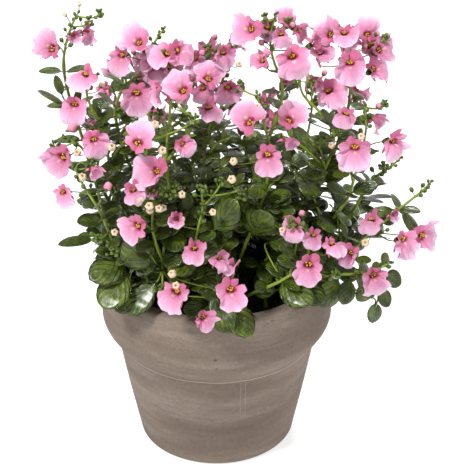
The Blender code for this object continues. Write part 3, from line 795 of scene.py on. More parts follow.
def addCorolla(shape, centre, axes, half, openness, draw):
    values = flowerValues
    right, up, forward = axes
    phase, ripple = draw.uniform(0, 6.28), draw.uniform(0.6, 1.4)
    lean = [0.0, *(draw.uniform(*values["lean"]) for _ in range(4))]
    grown = [draw.uniform(*values["lipGrowth"])]
    grown += [draw.uniform(*values["lobeGrowth"]) for _ in range(4)]
    fold = draw.uniform(*values["fold"])
    lobes = [(middle + draw.uniform(-6, 6), halfAngle * size, reach * size, notch)
             for (middle, halfAngle, reach, notch), size in zip(values["lobes"], grown)]
    shell = draw.uniform(*values["shell"])
    tint = draw.random()
    outline = []
    for i in range(values["around"]):
        angle = 360 * i / values["around"]
        turn = math.radians(angle)
        near = min(range(5), key=lambda k: angleBetween(angle, lobes[k][0]))
        reach, lobe = lobeReach(angle, lobes)
        uneven = noise.noise(Vector((math.cos(turn) * 3.2, math.sin(turn) * 3.2, phase)))
        outline.append((turn, near, reach * (1 + values["unevenness"] * uneven), lobe))

    def depth(turn, near, reach, lobe, share):
        # how far forward this point of the corolla lies
        cup = -values["throat"] * mm * (1 - ease(share * reach, 0.05, values["throatReach"]))
        flare = openness * half * share ** 1.4
        if near == 0:
            bend = half * shell * (math.sin(math.pi * share) * 0.8 - 1.1 * share ** 2 * (1.3 - lobe))
        else:
            bend = half * (lean[near] * share ** 1.5 - 0.10 * share ** 4)
        wave = math.sin(turn * 9 + phase) * 0.5 + math.sin(turn * 16 + phase * 2) * 0.3
        ruffle = values["ruffle"] * ripple * mm * wave * share ** 3
        crease = -0.9 * mm * (1 - lobe) ** 2 * ease(share, 0.2, 0.8)
        spot = Vector((math.sin(turn) * share * 1.9, math.cos(turn) * share * 1.9, phase + 7))
        crumple = values["crumple"] * noise.noise(spot) + fold * abs(math.sin(turn))
        crumple *= half * reach * share ** 1.4
        return cup + flare + bend * (0.14 + 0.86 * lobe ** 0.5) + ruffle + crease + crumple

    thick = values["thickness"] * mm
    rows, coords = [], []
    for layer, shares in enumerate((frontShares, backShares)):
        for share in shares:
            row, coordRow = [], []
            for turn, near, reach, lobe in outline:
                outward = right * math.sin(turn) - up * math.cos(turn)
                deep = depth(turn, near, reach, lobe, share) - layer * thick * (1 - 0.6 * share)
                radius = half * reach * share * (1 - 0.25 * max(openness, 0) * share)
                row.append(centre + outward * radius + forward * deep)
                far = 0.5 * reach * share
                coordRow.append((0.5 + far * math.sin(turn), 0.5 - far * math.cos(turn)))
            rows.append(row)
            coords.append(coordRow)
    addGrid(shape, rows, coords, 0, tint)


spurRadii = (1.5, 1.3, 1.05, 0.85, 0.7, 0.35)
calyxProfile = ((0.5, 0.0), (1.1, 0.5), (1.7, 1.5), (2.1, 2.9), (2.3, 4.2), (2.0, 4.1), (1.5, 2.8),
                (0.6, 1.6))
antherProfile = ((0.12, -0.55), (0.38, -0.32), (0.50, 0.0), (0.38, 0.32), (0.12, 0.55))
# how far to the right, up and forward each anther stands
antherPlaces = ((-1.1, 0.8, 1.3), (1, 0.6, 1.4), (-0.5, -0.3, 1.8), (0.6, -0.1, 1.9), (0.1, 0.9, 1.5))


def addHeart(shape, centre, axes, half, draw):
    # spurs (finish 0), calyx (1) and anthers (2)
    values = flowerValues
    right, up, forward = axes
    unit = half / (values["width"] / 2)        # one mm on a full-sized flower
    for side in (-1, 1):
        start = centre + right * side * half * 0.20 - up * half * 0.10 - forward * 0.0016
        away = (right * side * 0.45 - up * 0.55 - forward * 1.0).normalized()
        hook = -up * 0.9 + right * side * -0.3
        path = [start + away * 5.8 * unit * t + hook * 2.2 * unit * t * t for t in fifths]
        addTube(shape, path, [radius * unit for radius in spurRadii], 9, 0, draw.random())
    base = centre - forward * (values["throatDepth"] + values["calyx"]) * mm
    addTurned(shape, base, forward, sized(calyxProfile, unit, 0.95 * mm), 20, 1, draw.random(),
              wobble=lambda angle, share: 1 + 0.22 * math.cos(5 * angle) * ease(share, 0.2, 0.6))
    for side, rise, out in antherPlaces:
        side, rise = side + draw.uniform(-0.25, 0.25), rise + draw.uniform(-0.25, 0.25)
        root = centre + (right * side * 0.5 + up * 0.2 - forward * 1.6) * mm
        tip = centre + (right * side * 0.95 + up * rise) * unit + forward * (out - 1.2) * mm
        thread = [root, root.lerp(tip, 0.5) + up * 0.3 * mm, tip]
        addTube(shape, thread, [0.25 * mm, 0.22 * mm, 0.2 * mm], 6, 1, 0.6)
        towards = (right * side + up * 0.4 + forward * 0.6).normalized()
        addTurned(shape, tip, towards, sized(antherProfile, unit, unit), 8, 2, 0.5)


# Buds

# (radius against the half width, height against the length)
witheredProfile = ((0.2, 0.05), (0.74, 0.16), (1.06, 0.36), (1.15, 0.58), (1.02, 0.80), (0.72, 0.94),
                   (0.48, 0.90), (0.34, 0.78), (0.22, 0.68), (0.10, 0.64))
budProfile = ((0.12, 0.0), (0.62, 0.14), (0.94, 0.36), (1.0, 0.58), (0.82, 0.8), (0.46, 0.95),
              (0.10, 1.0))
budCalyxProfile = ((0.2, 0.0), (0.66, 0.14), (0.92, 0.34), (1.02, 0.55), (0.9, 0.52), (0.6, 0.35),
                   (0.2, 0.25))


def addBud(shape, base, along, length, finish, draw):
    # closed petals, or for a cream one (finish 0) a crumpled cup with an open tip, over a calyx (1)
    wide, skew = length * 0.46, draw.uniform(0, 6)

    def crumpled(angle, share):
        folds = 0.16 * math.cos(5 * angle + share * 2) * ease(share, 0, 0.5)
        return 1 + folds + 0.09 * math.cos(11 * angle + skew + share * 9)

    def twisted(angle, share):
        return 1 + 0.15 * math.cos(4 * angle + share * 3)

    if finish == 0:
        addTurned(shape, base + along * length * 0.1, along, sized(witheredProfile, wide, length), 20,
                  finish, draw.random(), crumpled)
    else:
        addTurned(shape, base + along * length * 0.14, along, sized(budProfile, wide, length), 12,
                  finish, draw.random(), twisted)
    addTurned(shape, base, along, sized(budCalyxProfile, wide, length), 15, 1, draw.random(),
              wobble=lambda angle, share: 1 + 0.16 * math.cos(5 * angle) * ease(share, 0.4, 0.7))


def addGreenBud(shape, base, along, length, draw):
    addTurned(shape, base, along, sized(budProfile, length * 0.38, length), 9, 1, draw.random(),
              wobble=lambda angle, share: 1 + 0.10 * math.cos(5 * angle))


# Each shoot (its node in the frame is called shoot_ and then its name): its foot in the compost, the
# points that it passes, and its pairs of leaves (how many, how far up they start and stop, the first
# pair's compass angle), all in mm and degrees as above.

shoots = {
    "tall_left": ((-30, 8), [(-64, 6, 52), (-80, 8, 100), (-86, 4, 135), (-84, 2, 151), (-80, 0, 163),
        (-76, 0, 171)], (3, 0.22, 0.66, 35)),
    "left_upper": ((-34, -6), [(-58, -10, 66), (-64, -14, 106), (-72, -15, 130), (-66, -13, 139)],
        (3, 0.25, 0.74, 70)),
    "left_middle": ((-30, -18), [(-61, -24, 50), (-68, -34, 84), (-74, -34, 104), (-84, -30, 109)],
        (3, 0.25, 0.72, 10)),
    "left_low": ((-27, -29), [(-55, -44, 45), (-65, -50, 74), (-74, -48, 90), (-78, -44, 97)],
        (4, 0.2, 0.72, 60)),
    "crown_left": ((-18, 12), [(-47, 8, 64), (-58, 8, 104), (-53, 4, 124), (-42, 0, 136),
        (-34, -2, 154), (-29, 0, 161)], (4, 0.2, 0.74, 100)),
    "crown_mid_left": ((-16, -10), [(-28, -18, 83), (-26, -22, 114), (-24, -22, 131), (-19, -16, 141)],
        (3, 0.3, 0.72, 30)),
    "crown_middle": ((-4, -4), [(-7, -8, 80), (-3, -8, 109), (3, -4, 129), (7, 0, 142)],
        (3, 0.35, 0.8, 80)),
    "front_left": ((-17, -24), [(-33, -44, 72), (-39, -47, 98), (-36, -45, 115)], (4, 0.24, 0.8, 45)),
    "front_low_left": ((-16, -36), [(-32, -56, 50), (-35, -58, 75), (-28, -56, 90)], (3, 0.3, 0.75, 0)),
    "front_middle": ((-5, -33), [(-14, -56, 43), (-11, -60, 62), (-7, -52, 78)], (4, 0.25, 0.85, 90)),
    "front_rim": ((0, -43), [(0, -63, 24), (0, -70, 34), (8, -68, 42)], (2, 0.4, 0.7, 15)),
    "tall_right": ((8, 6), [(23, 2, 70), (37, 4, 112), (38, 4, 127), (33, 4, 141), (31, 4, 154),
        (34, 6, 167)], (4, 0.2, 0.7, 55)),
    "bowed_right": ((24, -8), [(61, -14, 78), (67, -16, 103), (59, -16, 117), (49, -12, 127),
        (47, -6, 136)], (3, 0.25, 0.6, 5)),
    "top_right": ((24, 6), [(61, 0, 65), (75, 2, 106), (77, 4, 125), (75, 6, 141), (77, 6, 158)],
        (3, 0.25, 0.62, 85)),
    "middle_right": ((8, -18), [(26, -36, 73), (30, -38, 103), (26, -34, 121), (23, -28, 134)],
        (4, 0.25, 0.8, 35)),
    "right_upper": ((33, -13), [(73, -20, 60), (80, -22, 84), (85, -16, 106), (84, -14, 121)],
        (4, 0.24, 0.8, 50)),
    "right_spike": ((38, 3), [(77, -4, 43), (91, -4, 69), (102, -4, 78), (107, -4, 83)],
        (5, 0.2, 0.8, 25)),
    "far_right": ((39, -18), [(79, -28, 37), (97, -30, 56), (109, -28, 66), (119, -26, 74),
        (122, -26, 78)], (4, 0.25, 0.8, 95)),
    "right_low": ((29, -29), [(66, -52, 33), (84, -56, 36), (98, -52, 40)], (4, 0.3, 0.95, 40)),
    "front_right": ((14, -36), [(40, -58, 35), (50, -60, 48), (53, -56, 60)], (4, 0.28, 0.8, 75)),
    "back_left": ((-24, 30), [(-46, 44, 50), (-56, 54, 88), (-54, 58, 112)], (4, 0.2, 0.85, 50)),
    "back_middle": ((2, 28), [(0, 42, 60), (4, 52, 100), (6, 54, 126)], (4, 0.2, 0.85, 0)),
    "back_right": ((26, 28), [(48, 42, 48), (58, 50, 84), (58, 50, 110)], (4, 0.2, 0.85, 40)),
}

# Each flower with a solid of its own: shoot, face, width share, compass, upwards, lip, openness.

cadFlowers = {
    "flower_01": ("tall_left", (-92, -6, 154), 1.0, -25, 15, -120, 0.05),
    "flower_02": ("tall_left", (-72, 6, 157), 0.85, 125, 10, 0, 0.25),
    "flower_03": ("left_upper", (-73, -22, 142), 0.95, -20, 62, -30, 0.0),
    "flower_04": ("left_upper", (-78, -26, 125), 0.95, -10, 25, 0, 0.05),
    "flower_05": ("left_middle", (-66, -44, 112), 0.9, 25, 20, 10, 0.05),
    "flower_06": ("left_middle", (-86, -40, 100), 1.1, -25, 15, -40, 0.0),
    "flower_07": ("left_low", (-84, -52, 84), 0.8, -35, 20, 20, 0.1),
    "flower_08": ("crown_left", (-44, -10, 158), 1.0, -15, 40, -110, 0.0),
    "flower_09": ("crown_left", (-29, -13, 151), 1.05, 10, 50, -75, 0.1),
    "flower_10": ("crown_left", (-44, -16, 127), 1.1, 0, 25, 0, 0.0),
    "flower_11": ("crown_mid_left", (-19, -34, 140), 1.05, -10, 45, -130, 0.05),
    "flower_12": ("crown_middle", (-4, -18, 141), 1.05, 15, 50, 165, 0.05),
    "flower_13": ("front_left", (-41, -58, 121), 1.1, -10, 30, 170, 0.0),
    "flower_14": ("front_left", (-34, -64, 103), 1.1, -15, 50, -60, 0.0),
    "flower_15": ("front_low_left", (-44, -72, 74), 1.05, -30, 20, -45, 0.05),
    "flower_16": ("front_middle", (-12, -74, 60), 0.9, -5, 50, 0, 0.15),
    "flower_17": ("front_rim", (8, -84, 39), 1.15, 15, 35, 0, 0.0),
    "flower_18": ("front_rim", (-23, -80, 36), 1.15, -15, 40, -20, 0.0),
    "flower_19": ("tall_right", (18, -3, 162), 1.05, -30, 35, -75, 0.05),
    "flower_20": ("bowed_right", (43, -20, 150), 1.15, 0, 22, 15, 0.0),
    "flower_21": ("top_right", (72, -4, 158), 0.9, 0, 55, 0, 0.15),
    "flower_22": ("top_right", (75, -12, 143), 1.05, 5, 28, 0, 0.0),
    "flower_23": ("top_right", (65, -10, 126), 1.05, -10, 60, 40, 0.05),
    "flower_24": ("top_right", (94, 4, 147), 0.95, 40, 35, 75, 0.05),
    "flower_25": ("middle_right", (17, -46, 127), 1.15, -20, 35, -135, 0.0),
    "flower_26": ("middle_right", (28, -58, 108), 1.1, 0, 25, 0, 0.0),
    "flower_27": ("right_upper", (77, -38, 103), 1.1, 0, 25, 0, 0.0),
    "flower_28": ("right_upper", (100, -24, 101), 1.0, 50, 20, 0, 0.05),
    "flower_29": ("far_right", (106, -48, 51), 1.05, 40, 30, 0, 0.05),
    "flower_30": ("front_right", (50, -76, 50), 1.1, 0, 30, -10, 0.0),
    "flower_31": ("right_low", (87, -70, 40), 1.0, 20, 25, 0, 0.05),
    "flower_32": ("back_left", (-60, 70, 112), 1.0, -145, 35, 0, 0.0),
    "flower_33": ("back_middle", (-4, 68, 122), 1.05, 170, 40, 0, 0.0),
    "flower_34": ("back_right", (60, 64, 104), 1.0, 150, 35, 0, 0.0),
    "flower_35": ("back_middle", (14, 70, 84), 1.0, 165, 20, 0, 0.05),
}

# More flowers, half open ones among them, which have no solid of their own.

moreFlowers = [
    ("tall_left", (-79, -8, 160), 0.5, 10, 30, 0, 0.55),
    ("left_low", (-67, -56, 101), 0.55, 20, 15, 0, 0.5),
    ("crown_left", (-52, -6, 146), 1.0, -40, 20, 30, 0.1),
    ("crown_left", (-19, -12, 152), 1.0, 25, 35, 30, 0.1),
    ("crown_left", (-36, -4, 144), 0.9, -10, 20, -25, 0.1),
    ("crown_mid_left", (-11, -8, 145), 0.95, 30, 25, -30, 0.1),
    ("crown_mid_left", (-31, -30, 136), 0.9, -40, 20, 25, 0.15),
    ("crown_middle", (4, -10, 149), 0.9, 10, 30, 0, 0.15),
    ("crown_middle", (6, -16, 131), 1.0, 35, 20, 0, 0.1),
    ("crown_middle", (-3, -26, 123), 0.9, 10, 65, 0, 0.05),
    ("front_left", (-17, -44, 110), 0.7, 30, 10, 20, 0.3),
    ("front_low_left", (-44, -66, 92), 0.8, -20, 30, 0, 0.2),
    ("front_low_left", (-34, -64, 92), 0.5, 15, 35, 0, 0.45),
    ("front_middle", (-22, -70, 77), 0.6, -10, 40, 0, 0.6),
    ("front_middle", (2, -78, 57), 0.75, 50, 15, 0, 0.25),
    ("front_rim", (7, -74, 50), 0.8, 20, 65, 0, 0.1),
    ("front_rim", (-7, -86, 24), 0.85, 5, 5, 0, 0.25),
    ("tall_right", (29, 6, 158), 0.75, -20, 40, 0, 0.15),
    ("tall_right", (40, 12, 163), 0.85, 10, 40, 180, 0.15),
    ("tall_right", (37, -2, 157), 0.75, 15, 30, 30, 0.1),
    ("tall_right", (48, 8, 157), 0.8, 50, 20, 60, 0.05),
    ("tall_right", (57, 2, 153), 0.95, 35, 45, 90, 0.05),
    ("tall_right", (25, -8, 146), 0.85, -70, 45, -60, 0.05),
    ("top_right", (63, 2, 158), 0.9, -15, 30, -90, 0.1),
    ("top_right", (86, 8, 157), 0.9, 30, 40, 150, 0.05),
    ("top_right", (60, -2, 146), 0.85, -25, 45, 20, 0.1),
    ("top_right", (91, -2, 137), 0.95, 30, 62, 60, 0.0),
    ("right_upper", (72, -24, 118), 0.85, -10, 40, 0, 0.1),
    ("right_upper", (90, -14, 111), 0.7, 80, 20, 0, 0.3),
    ("middle_right", (42, -38, 124), 1.0, 20, 35, 140, 0.05),
    ("middle_right", (38, -46, 113), 0.55, 20, 10, 0, 0.6),
    ("far_right", (100, -36, 62), 0.45, 20, 50, 0, 0.5),
    ("far_right", (87, -44, 62), 0.9, -5, 40, 35, 0.1),
    ("far_right", (119, -38, 50), 1.0, 35, 30, 40, 0.0),
    ("front_right", (64, -72, 62), 0.8, 20, 60, 0, 0.05),
    ("right_low", (73, -68, 54), 0.85, -15, 20, 0, 0.2),
    ("front_right", (53, -66, 64), 0.7, 0, 45, 0, 0.15),
    ("front_right", (43, -64, 69), 0.85, -30, 45, 0, 0.1),
    ("crown_left", (-40, 32, 112), 0.95, 190, 30, 0, 0.05),
    ("crown_left", (-58, 30, 102), 0.9, 215, 25, 10, 0.1),
    ("crown_left", (-24, 38, 104), 0.9, 175, 35, 0, 0.1),
    ("tall_left", (-80, 26, 100), 0.9, 225, 20, 0, 0.05),
    ("back_left", (-74, 44, 84), 0.85, 245, 20, 0, 0.15),
    ("tall_right", (42, 34, 116), 0.95, 170, 30, 0, 0.05),
    ("tall_right", (30, 42, 100), 0.85, 185, 25, 0, 0.15),
    ("top_right", (70, 32, 108), 0.95, 160, 30, 0, 0.05),
    ("top_right", (84, 24, 112), 0.85, 130, 25, 0, 0.1),
    ("back_right", (78, 40, 86), 0.85, 125, 20, 0, 0.1),
    ("back_right", (36, 66, 76), 0.9, 175, 10, 0, 0.05),
    ("back_left", (-36, 68, 80), 0.9, 190, 10, 0, 0.1),
    ("back_left", (-44, 66, 118), 0.8, 200, 40, 0, 0.1),
    ("back_left", (-66, 58, 100), 0.75, 240, 15, 0, 0.2),
    ("back_middle", (12, 62, 130), 0.85, 150, 45, 0, 0.1),
    ("back_middle", (-14, 62, 106), 0.8, 210, 20, 0, 0.15),
    ("back_right", (70, 58, 98), 0.8, 120, 20, 0, 0.1),
    ("back_right", (50, 64, 116), 0.75, 175, 50, 0, 0.1),
    ("crown_left", (-34, -2, 138), 0.95, -25, 25, 40, 0.1),
    ("crown_left", (-38, 4, 131), 0.85, 10, 10, -30, 0.1),
    ("crown_mid_left", (-11, -4, 142), 0.85, 20, 20, -20, 0.15),
    ("crown_mid_left", (-25, 4, 138), 0.9, 0, 30, 150, 0.05),
    ("crown_middle", (-6, -10, 128), 0.8, -20, 15, 10, 0.15),
    ("top_right", (89, 8, 147), 0.8, 35, 20, 70, 0.1),
    ("top_right", (77, 8, 150), 0.8, -10, 35, -60, 0.1),
]

# Closed coloured buds: shoot, place, length, and whether they are cream or blush.

buds = [
    ("left_middle", (-57, -46, 110), 6, "cream"), ("left_middle", (-64, -40, 102), 5.5, "cream"),
    ("left_middle", (-76, -42, 105), 5.5, "cream"), ("left_low", (-73, -52, 95), 5.5, "cream"),
    ("left_upper", (-79, -28, 114), 8.5, "blush"), ("left_low", (-59, -58, 92), 7, "blush"),
    ("left_upper", (-64, -8, 131), 4.5, "cream"), ("tall_left", (-83, 0, 170), 3.6, "cream"),
    ("tall_left", (-75, 0, 176), 3.4, "cream"), ("front_left", (-33, -46, 123), 6, "cream"),
    ("front_left", (-29, -57, 113), 6, "cream"), ("front_low_left", (-42, -66, 86), 5.5, "cream"),
    ("front_low_left", (-36, -65, 81), 5.5, "cream"), ("front_low_left", (-29, -64, 82), 5, "cream"),
    ("front_low_left", (-19, -62, 89), 5.5, "cream"), ("left_low", (-56, -62, 66), 5, "cream"),
    ("middle_right", (23, -36, 129), 5.5, "cream"), ("middle_right", (10, -50, 103), 5.5, "cream"),
    ("middle_right", (9, -54, 94), 6, "cream"), ("right_upper", (65, -30, 103), 5, "cream"),
    ("right_upper", (71, -38, 93), 6, "cream"), ("right_upper", (80, -40, 113), 5, "cream"),
    ("far_right", (84, -50, 52), 6, "cream"), ("crown_mid_left", (-20, -30, 131), 5.5, "cream"),
    ("crown_left", (-53, 2, 134), 4, "blush"), ("crown_left", (-46, 4, 146), 4.2, "blush"),
    ("crown_middle", (-7, -8, 150), 5, "blush"), ("crown_middle", (13, -8, 143), 4.5, "cream"),
    ("tall_right", (26, 0, 153), 5, "blush"), ("tall_right", (43, 6, 161), 5, "blush"),
    ("top_right", (68, 4, 153), 5, "cream"), ("top_right", (84, 2, 150), 4.6, "blush"),
    ("right_upper", (91, -18, 122), 4.5, "blush"), ("front_rim", (-24, -74, 46), 6, "cream"),
    ("front_middle", (-2, -62, 78), 5, "cream"), ("front_right", (47, -62, 77), 5, "blush"),
    ("back_left", (-50, 62, 104), 5, "cream"), ("back_middle", (4, 62, 112), 5, "cream"),
    ("back_right", (66, 56, 112), 5, "blush"), ("back_middle", (0, 60, 134), 4.5, "blush"),
    ("front_low_left", (-41, -68, 90), 6.5, "cream"), ("front_low_left", (-36, -68, 85), 6, "cream"),
    ("front_low_left", (-31, -67, 83), 5.5, "cream"), ("front_low_left", (-21, -66, 75), 9, "cream"),
    ("front_middle", (-22, -76, 40), 6, "cream"), ("middle_right", (36, -66, 69), 4.5, "cream"),
]

# Green bud spikes at the shoots' tips: how many buds, and how far down from the tip they reach.

spikes = {
    "tall_left": (12, 0.14), "left_upper": (10, 0.1), "left_middle": (9, 0.12),
    "left_low": (9, 0.16), "crown_left": (12, 0.12), "crown_mid_left": (8, 0.1),
    "crown_middle": (12, 0.1), "front_left": (8, 0.12), "front_low_left": (16, 0.16),
    "front_middle": (10, 0.16), "front_rim": (5, 0.2), "tall_right": (13, 0.16),
    "bowed_right": (5, 0.06), "top_right": (12, 0.14), "middle_right": (12, 0.14),
    "right_upper": (12, 0.14), "right_spike": (15, 0.18), "far_right": (12, 0.12),
    "right_low": (6, 0.12), "front_right": (10, 0.16), "back_left": (9, 0.14),
    "back_middle": (10, 0.14), "back_right": (9, 0.14),
}

# Leaves placed one by one, for the outline: shoot, root, tip, width against length, youth.

placedLeaves = [
    ("tall_left", (-85, -2, 117), (-99, -8, 129), 0.62, 0.55),
    ("tall_left", (-87, 0, 121), (-91, 2, 133), 0.50, 0.45),
    ("tall_left", (-79, 4, 112), (-80, -4, 127), 0.60, 0.40),
    ("left_upper", (-66, -8, 104), (-77, -14, 112), 0.72, 0.45),
    ("left_upper", (-70, -14, 108), (-58, -18, 121), 0.66, 0.35),
    ("crown_left", (-56, 4, 112), (-66, 0, 124), 0.62, 0.50),
    ("crown_left", (-57, 6, 106), (-46, 0, 118), 0.66, 0.45),
    ("crown_left", (-50, 2, 126), (-60, -2, 136), 0.62, 0.55),
    ("tall_right", (39, 2, 104), (58, -8, 91), 0.62, 0.15),
    ("top_right", (76, 0, 104), (92, -4, 111), 0.64, 0.40),
    ("top_right", (70, 0, 102), (57, -4, 112), 0.60, 0.45),
    ("bowed_right", (68, -14, 106), (60, -18, 120), 0.64, 0.40),
    ("right_spike", (89, -8, 66), (99, -16, 74), 0.66, 0.35),
    ("right_spike", (86, -8, 60), (101, -18, 66), 0.62, 0.30),
    ("right_spike", (84, -10, 57), (95, -20, 52), 0.62, 0.20),
    ("far_right", (103, -28, 62), (86, -30, 60), 0.44, 0.10),
    ("far_right", (105, -28, 62), (119, -32, 45), 0.46, 0.15),
    ("left_low", (-69, -30, 45), (-90, -40, 49), 0.32, 0.30),
    ("left_low", (-50, -46, 40), (-72, -58, 36), 0.74, 0.15),
    ("left_low", (-49, -50, 34), (-66, -66, 22), 0.80, 0.60),
    ("front_rim", (4, -62, 24), (18, -80, 9), 0.62, 0.05),
    ("front_rim", (-2, -64, 30), (8, -82, 14), 0.66, 0.10),
    ("front_right", (35, -54, 31), (53, -72, 27), 0.74, 0.50),
    ("front_right", (44, -56, 32), (60, -68, 24), 0.70, 0.30),
    ("front_middle", (-2, -54, 62), (11, -62, 84), 0.70, 0.15),
    ("middle_right", (20, -42, 52), (26, -60, 76), 0.74, 0.05),
    ("front_right", (28, -46, 50), (44, -56, 60), 0.70, 0.10),
    ("front_low_left", (-34, -52, 38), (-50, -60, 60), 0.74, 0.15),
    ("front_middle", (-10, -56, 48), (-26, -70, 46), 0.72, 0.10),
    ("front_middle", (-12, -50, 40), (-2, -70, 32), 0.70, 0.05),
    ("front_low_left", (-34, -54, 30), (-52, -64, 16), 0.66, 0.20),
    ("left_low", (-40, -44, 24), (-58, -56, 12), 0.66, 0.25),
    ("right_low", (95, -52, 34), (106, -52, 27), 0.86, 0.15),
    ("right_low", (90, -52, 28), (80, -58, 19), 0.72, 0.20),
    ("right_low", (92, -52, 24), (99, -56, 14), 0.80, 0.15),
    ("right_low", (91, -53, 16), (90, -58, 4), 0.84, 0.10),
    ("right_low", (76, -54, 32), (72, -64, 20), 0.74, 0.30),
    ("right_low", (70, -52, 32), (60, -64, 18), 0.74, 0.20),
    ("right_low", (82, -54, 34), (88, -66, 26), 0.70, 0.25),
]

# A side shoot that hangs at the lower right, and clusters of green buds away from the tips.

hangingTwig = ("right_low", [(78, -54, 36), (90, -53, 32), (93, -52, 22), (91, -54, 12)])

clusters = [
    ("right_spike", (97, -8, 81), 8), ("bowed_right", (58, -26, 106), 9),
    ("right_upper", (95, -14, 122), 8), ("front_middle", (-8, -60, 92), 9),
    ("middle_right", (14, -16, 135), 8), ("front_low_left", (-22, -62, 94), 9),
    ("front_low_left", (-36, -66, 96), 7), ("left_low", (-68, -48, 103), 7),
    ("crown_mid_left", (-32, -6, 152), 8), ("left_middle", (-90, -32, 106), 7),
    ("tall_left", (-70, -2, 168), 8), ("tall_left", (-64, -2, 172), 7),
    ("tall_right", (42, 8, 163), 8), ("tall_right", (28, 2, 168), 6), ("top_right", (66, 6, 161), 7),
    ("top_right", (96, 6, 154), 8), ("crown_middle", (-4, -4, 152), 8),
    ("far_right", (92, -44, 56), 6), ("front_right", (66, -70, 44), 8),
    ("left_low", (-66, -60, 62), 8), ("left_low", (-58, -62, 54), 7),
    ("front_low_left", (-30, -74, 38), 9), ("back_left", (-50, 64, 66), 8),
    ("back_middle", (-10, 66, 74), 8), ("back_right", (66, 52, 62), 8),
    ("back_left", (-62, 60, 118), 7), ("back_right", (54, 58, 118), 7),
    ("back_middle", (12, 60, 132), 7), ("crown_mid_left", (-19, -18, 116), 8),
    ("crown_middle", (-1, -18, 116), 7), ("crown_left", (-32, -6, 114), 7),
    ("crown_middle", (9, -6, 119), 8), ("left_upper", (-54, -14, 118), 7),
    ("top_right", (69, 2, 107), 7), ("front_low_left", (-29, -66, 95), 11),
    ("front_low_left", (-24, -64, 91), 9), ("middle_right", (-5, -56, 87), 6),
    ("front_middle", (3, -50, 92), 7), ("front_left", (-11, -40, 125), 7),
    ("middle_right", (13, -52, 83), 6), ("front_right", (41, -68, 75), 8),
]

# Where short sprigs of small leaves end, between the flower heads

upperSprigs = [
    (-18, -6, 115), (-11, -14, 111), (-25, -8, 110), (-37, 0, 108), (-1, -16, 109), (10, -6, 112),
    (-7, -2, 116), (-30, -16, 106), (-15, -24, 107), (-45, -4, 103), (-54, -6, 109), (18, -12, 106),
    (30, -10, 102), (42, -14, 101), (53, -8, 103), (66, -4, 100), (75, 2, 99), (5, -24, 105),
    (-23, 6, 114), (-40, 8, 113), (-3, 8, 107), (-50, -20, 104), (23, 0, 108), (-60, -14, 104),
    (-64, -24, 101), (58, -22, 100), (73, -14, 96),
]


def turnEach(flowers, turning):
    # each of the flowers turns a little more its own way than it is listed
    return [(shoot, place, share, compass + turning.uniform(-35, 35),
             upwards + turning.uniform(-25, 25), lip + turning.uniform(-30, 30), openness)
            for shoot, place, share, compass, upwards, lip, openness in flowers]


looseFlowers = turnEach(moreFlowers, random.Random(77))

growth = {
    "rooted": 14, "footRadius": 1.6, "tipRadius": 0.55, "taper": 0.55, "stalkRadius": 0.33,
    "stalkReach": 7.5, "pairGap": 11, "leafyShare": 0.76, "roomBetween": 3.3, "branchRoom": 2.4,
    "branchShares": (0.10, 0.17, 0.25, 0.34, 0.44), "branchLength": 34, "branchPairs": 4,
    "branchRadii": (1.0, 0.9, 0.8, 0.7, 0.6, 0.35), "sprigs": 165, "sprigReach": (0.62, 1.0),
    "clusterDepth": 7.5,
}

# The leafy mound that blades turn away from, and the one that the sprigs end on: middle, half sizes

mound = ((5, 0, 10), (88, 66, 95))
sprigMound = ((5, 0, 14), (86, 68, 88))
goldenTurn = 2.39996

# The gap at the front, where the compost and the shade between the shoots show

hollow = {"middle": 26, "halfWidth": 13, "front": 62, "back": 12, "rise": 38, "slope": 0.6,
          "cleft": 19, "cleftHalfWidth": 7, "cleftHeight": 34}


def stemPath(foot, route):
    ground = inPlant((*foot, 0))
    below = ground - Vector((0, 0, growth["rooted"] * mm * 0.4))
    above = ground + Vector((0, 0, growth["rooted"] * mm / 2))
    return [below] + smoothRoute([ground, above] + [inPlant(p) for p in route], 7)


def treeOfNode(node):
    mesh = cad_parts[node].data
    return BVHTree.FromPolygons([v.co for v in mesh.vertices], [p.vertices for p in mesh.polygons])


def farFrom(tree, points):
    return sum((tree.find_nearest(point)[3] or 0) for point in points) / len(points)


def stalkPath(start, end, forward, reach, steps=8):
    bend = end - forward * reach
    return [start * (1 - t) ** 2 + bend * 2 * t * (1 - t) + end * t * t
            for t in (k / steps for k in range(steps + 1))]


def stalkFromCad(stem, tree, end, forward):
    # the stalk that lies nearest the one in the frame
    best = None
    for share in (0.98, 0.94, 0.9, 0.86, 0.82, 0.78, 0.72, 0.66, 0.6):
        start, _ = placeAlong(stem, share)
        path = stalkPath(start, end, forward, growth["stalkReach"] * mm)
        off = farFrom(tree, path[2:])
        if best is None or off < best[0]:
            best = (off, path)
    return best[1]


def freshStalk(stem, end, forward, reach=6.0):
    # the shortest stalk that rises towards its flower
    best = None
    for step in range(14):
        start, _ = placeAlong(stem, 0.99 - 0.035 * step)
        path = stalkPath(start, end, forward, reach * mm)
        cost = pathLength(path) + max(start.z - end.z, 0) * 2.5
        if best is None or cost < best[0]:
            best = (cost, path)
    return best[1]


class Room:
    # remembers where blades are, so that new ones keep a little apart
    def __init__(self, cell):
        self.cell, self.held = cell, {}
        self.around = [(x, y, z) for x in (-1, 0, 1) for y in (-1, 0, 1) for z in (-1, 0, 1)]

    def key(self, point):
        return tuple(int(math.floor(v / self.cell)) for v in point)

    def near(self, point):
        x, y, z = self.key(point)
        for dx, dy, dz in self.around:
            yield from self.held.get((x + dx, y + dy, z + dz), ())

    def taken(self, points, room):
        return any((other - point).length < room for point in points for other in self.near(point))

    def add(self, points):
        for point in points:
            self.held.setdefault(self.key(point), []).append(point)


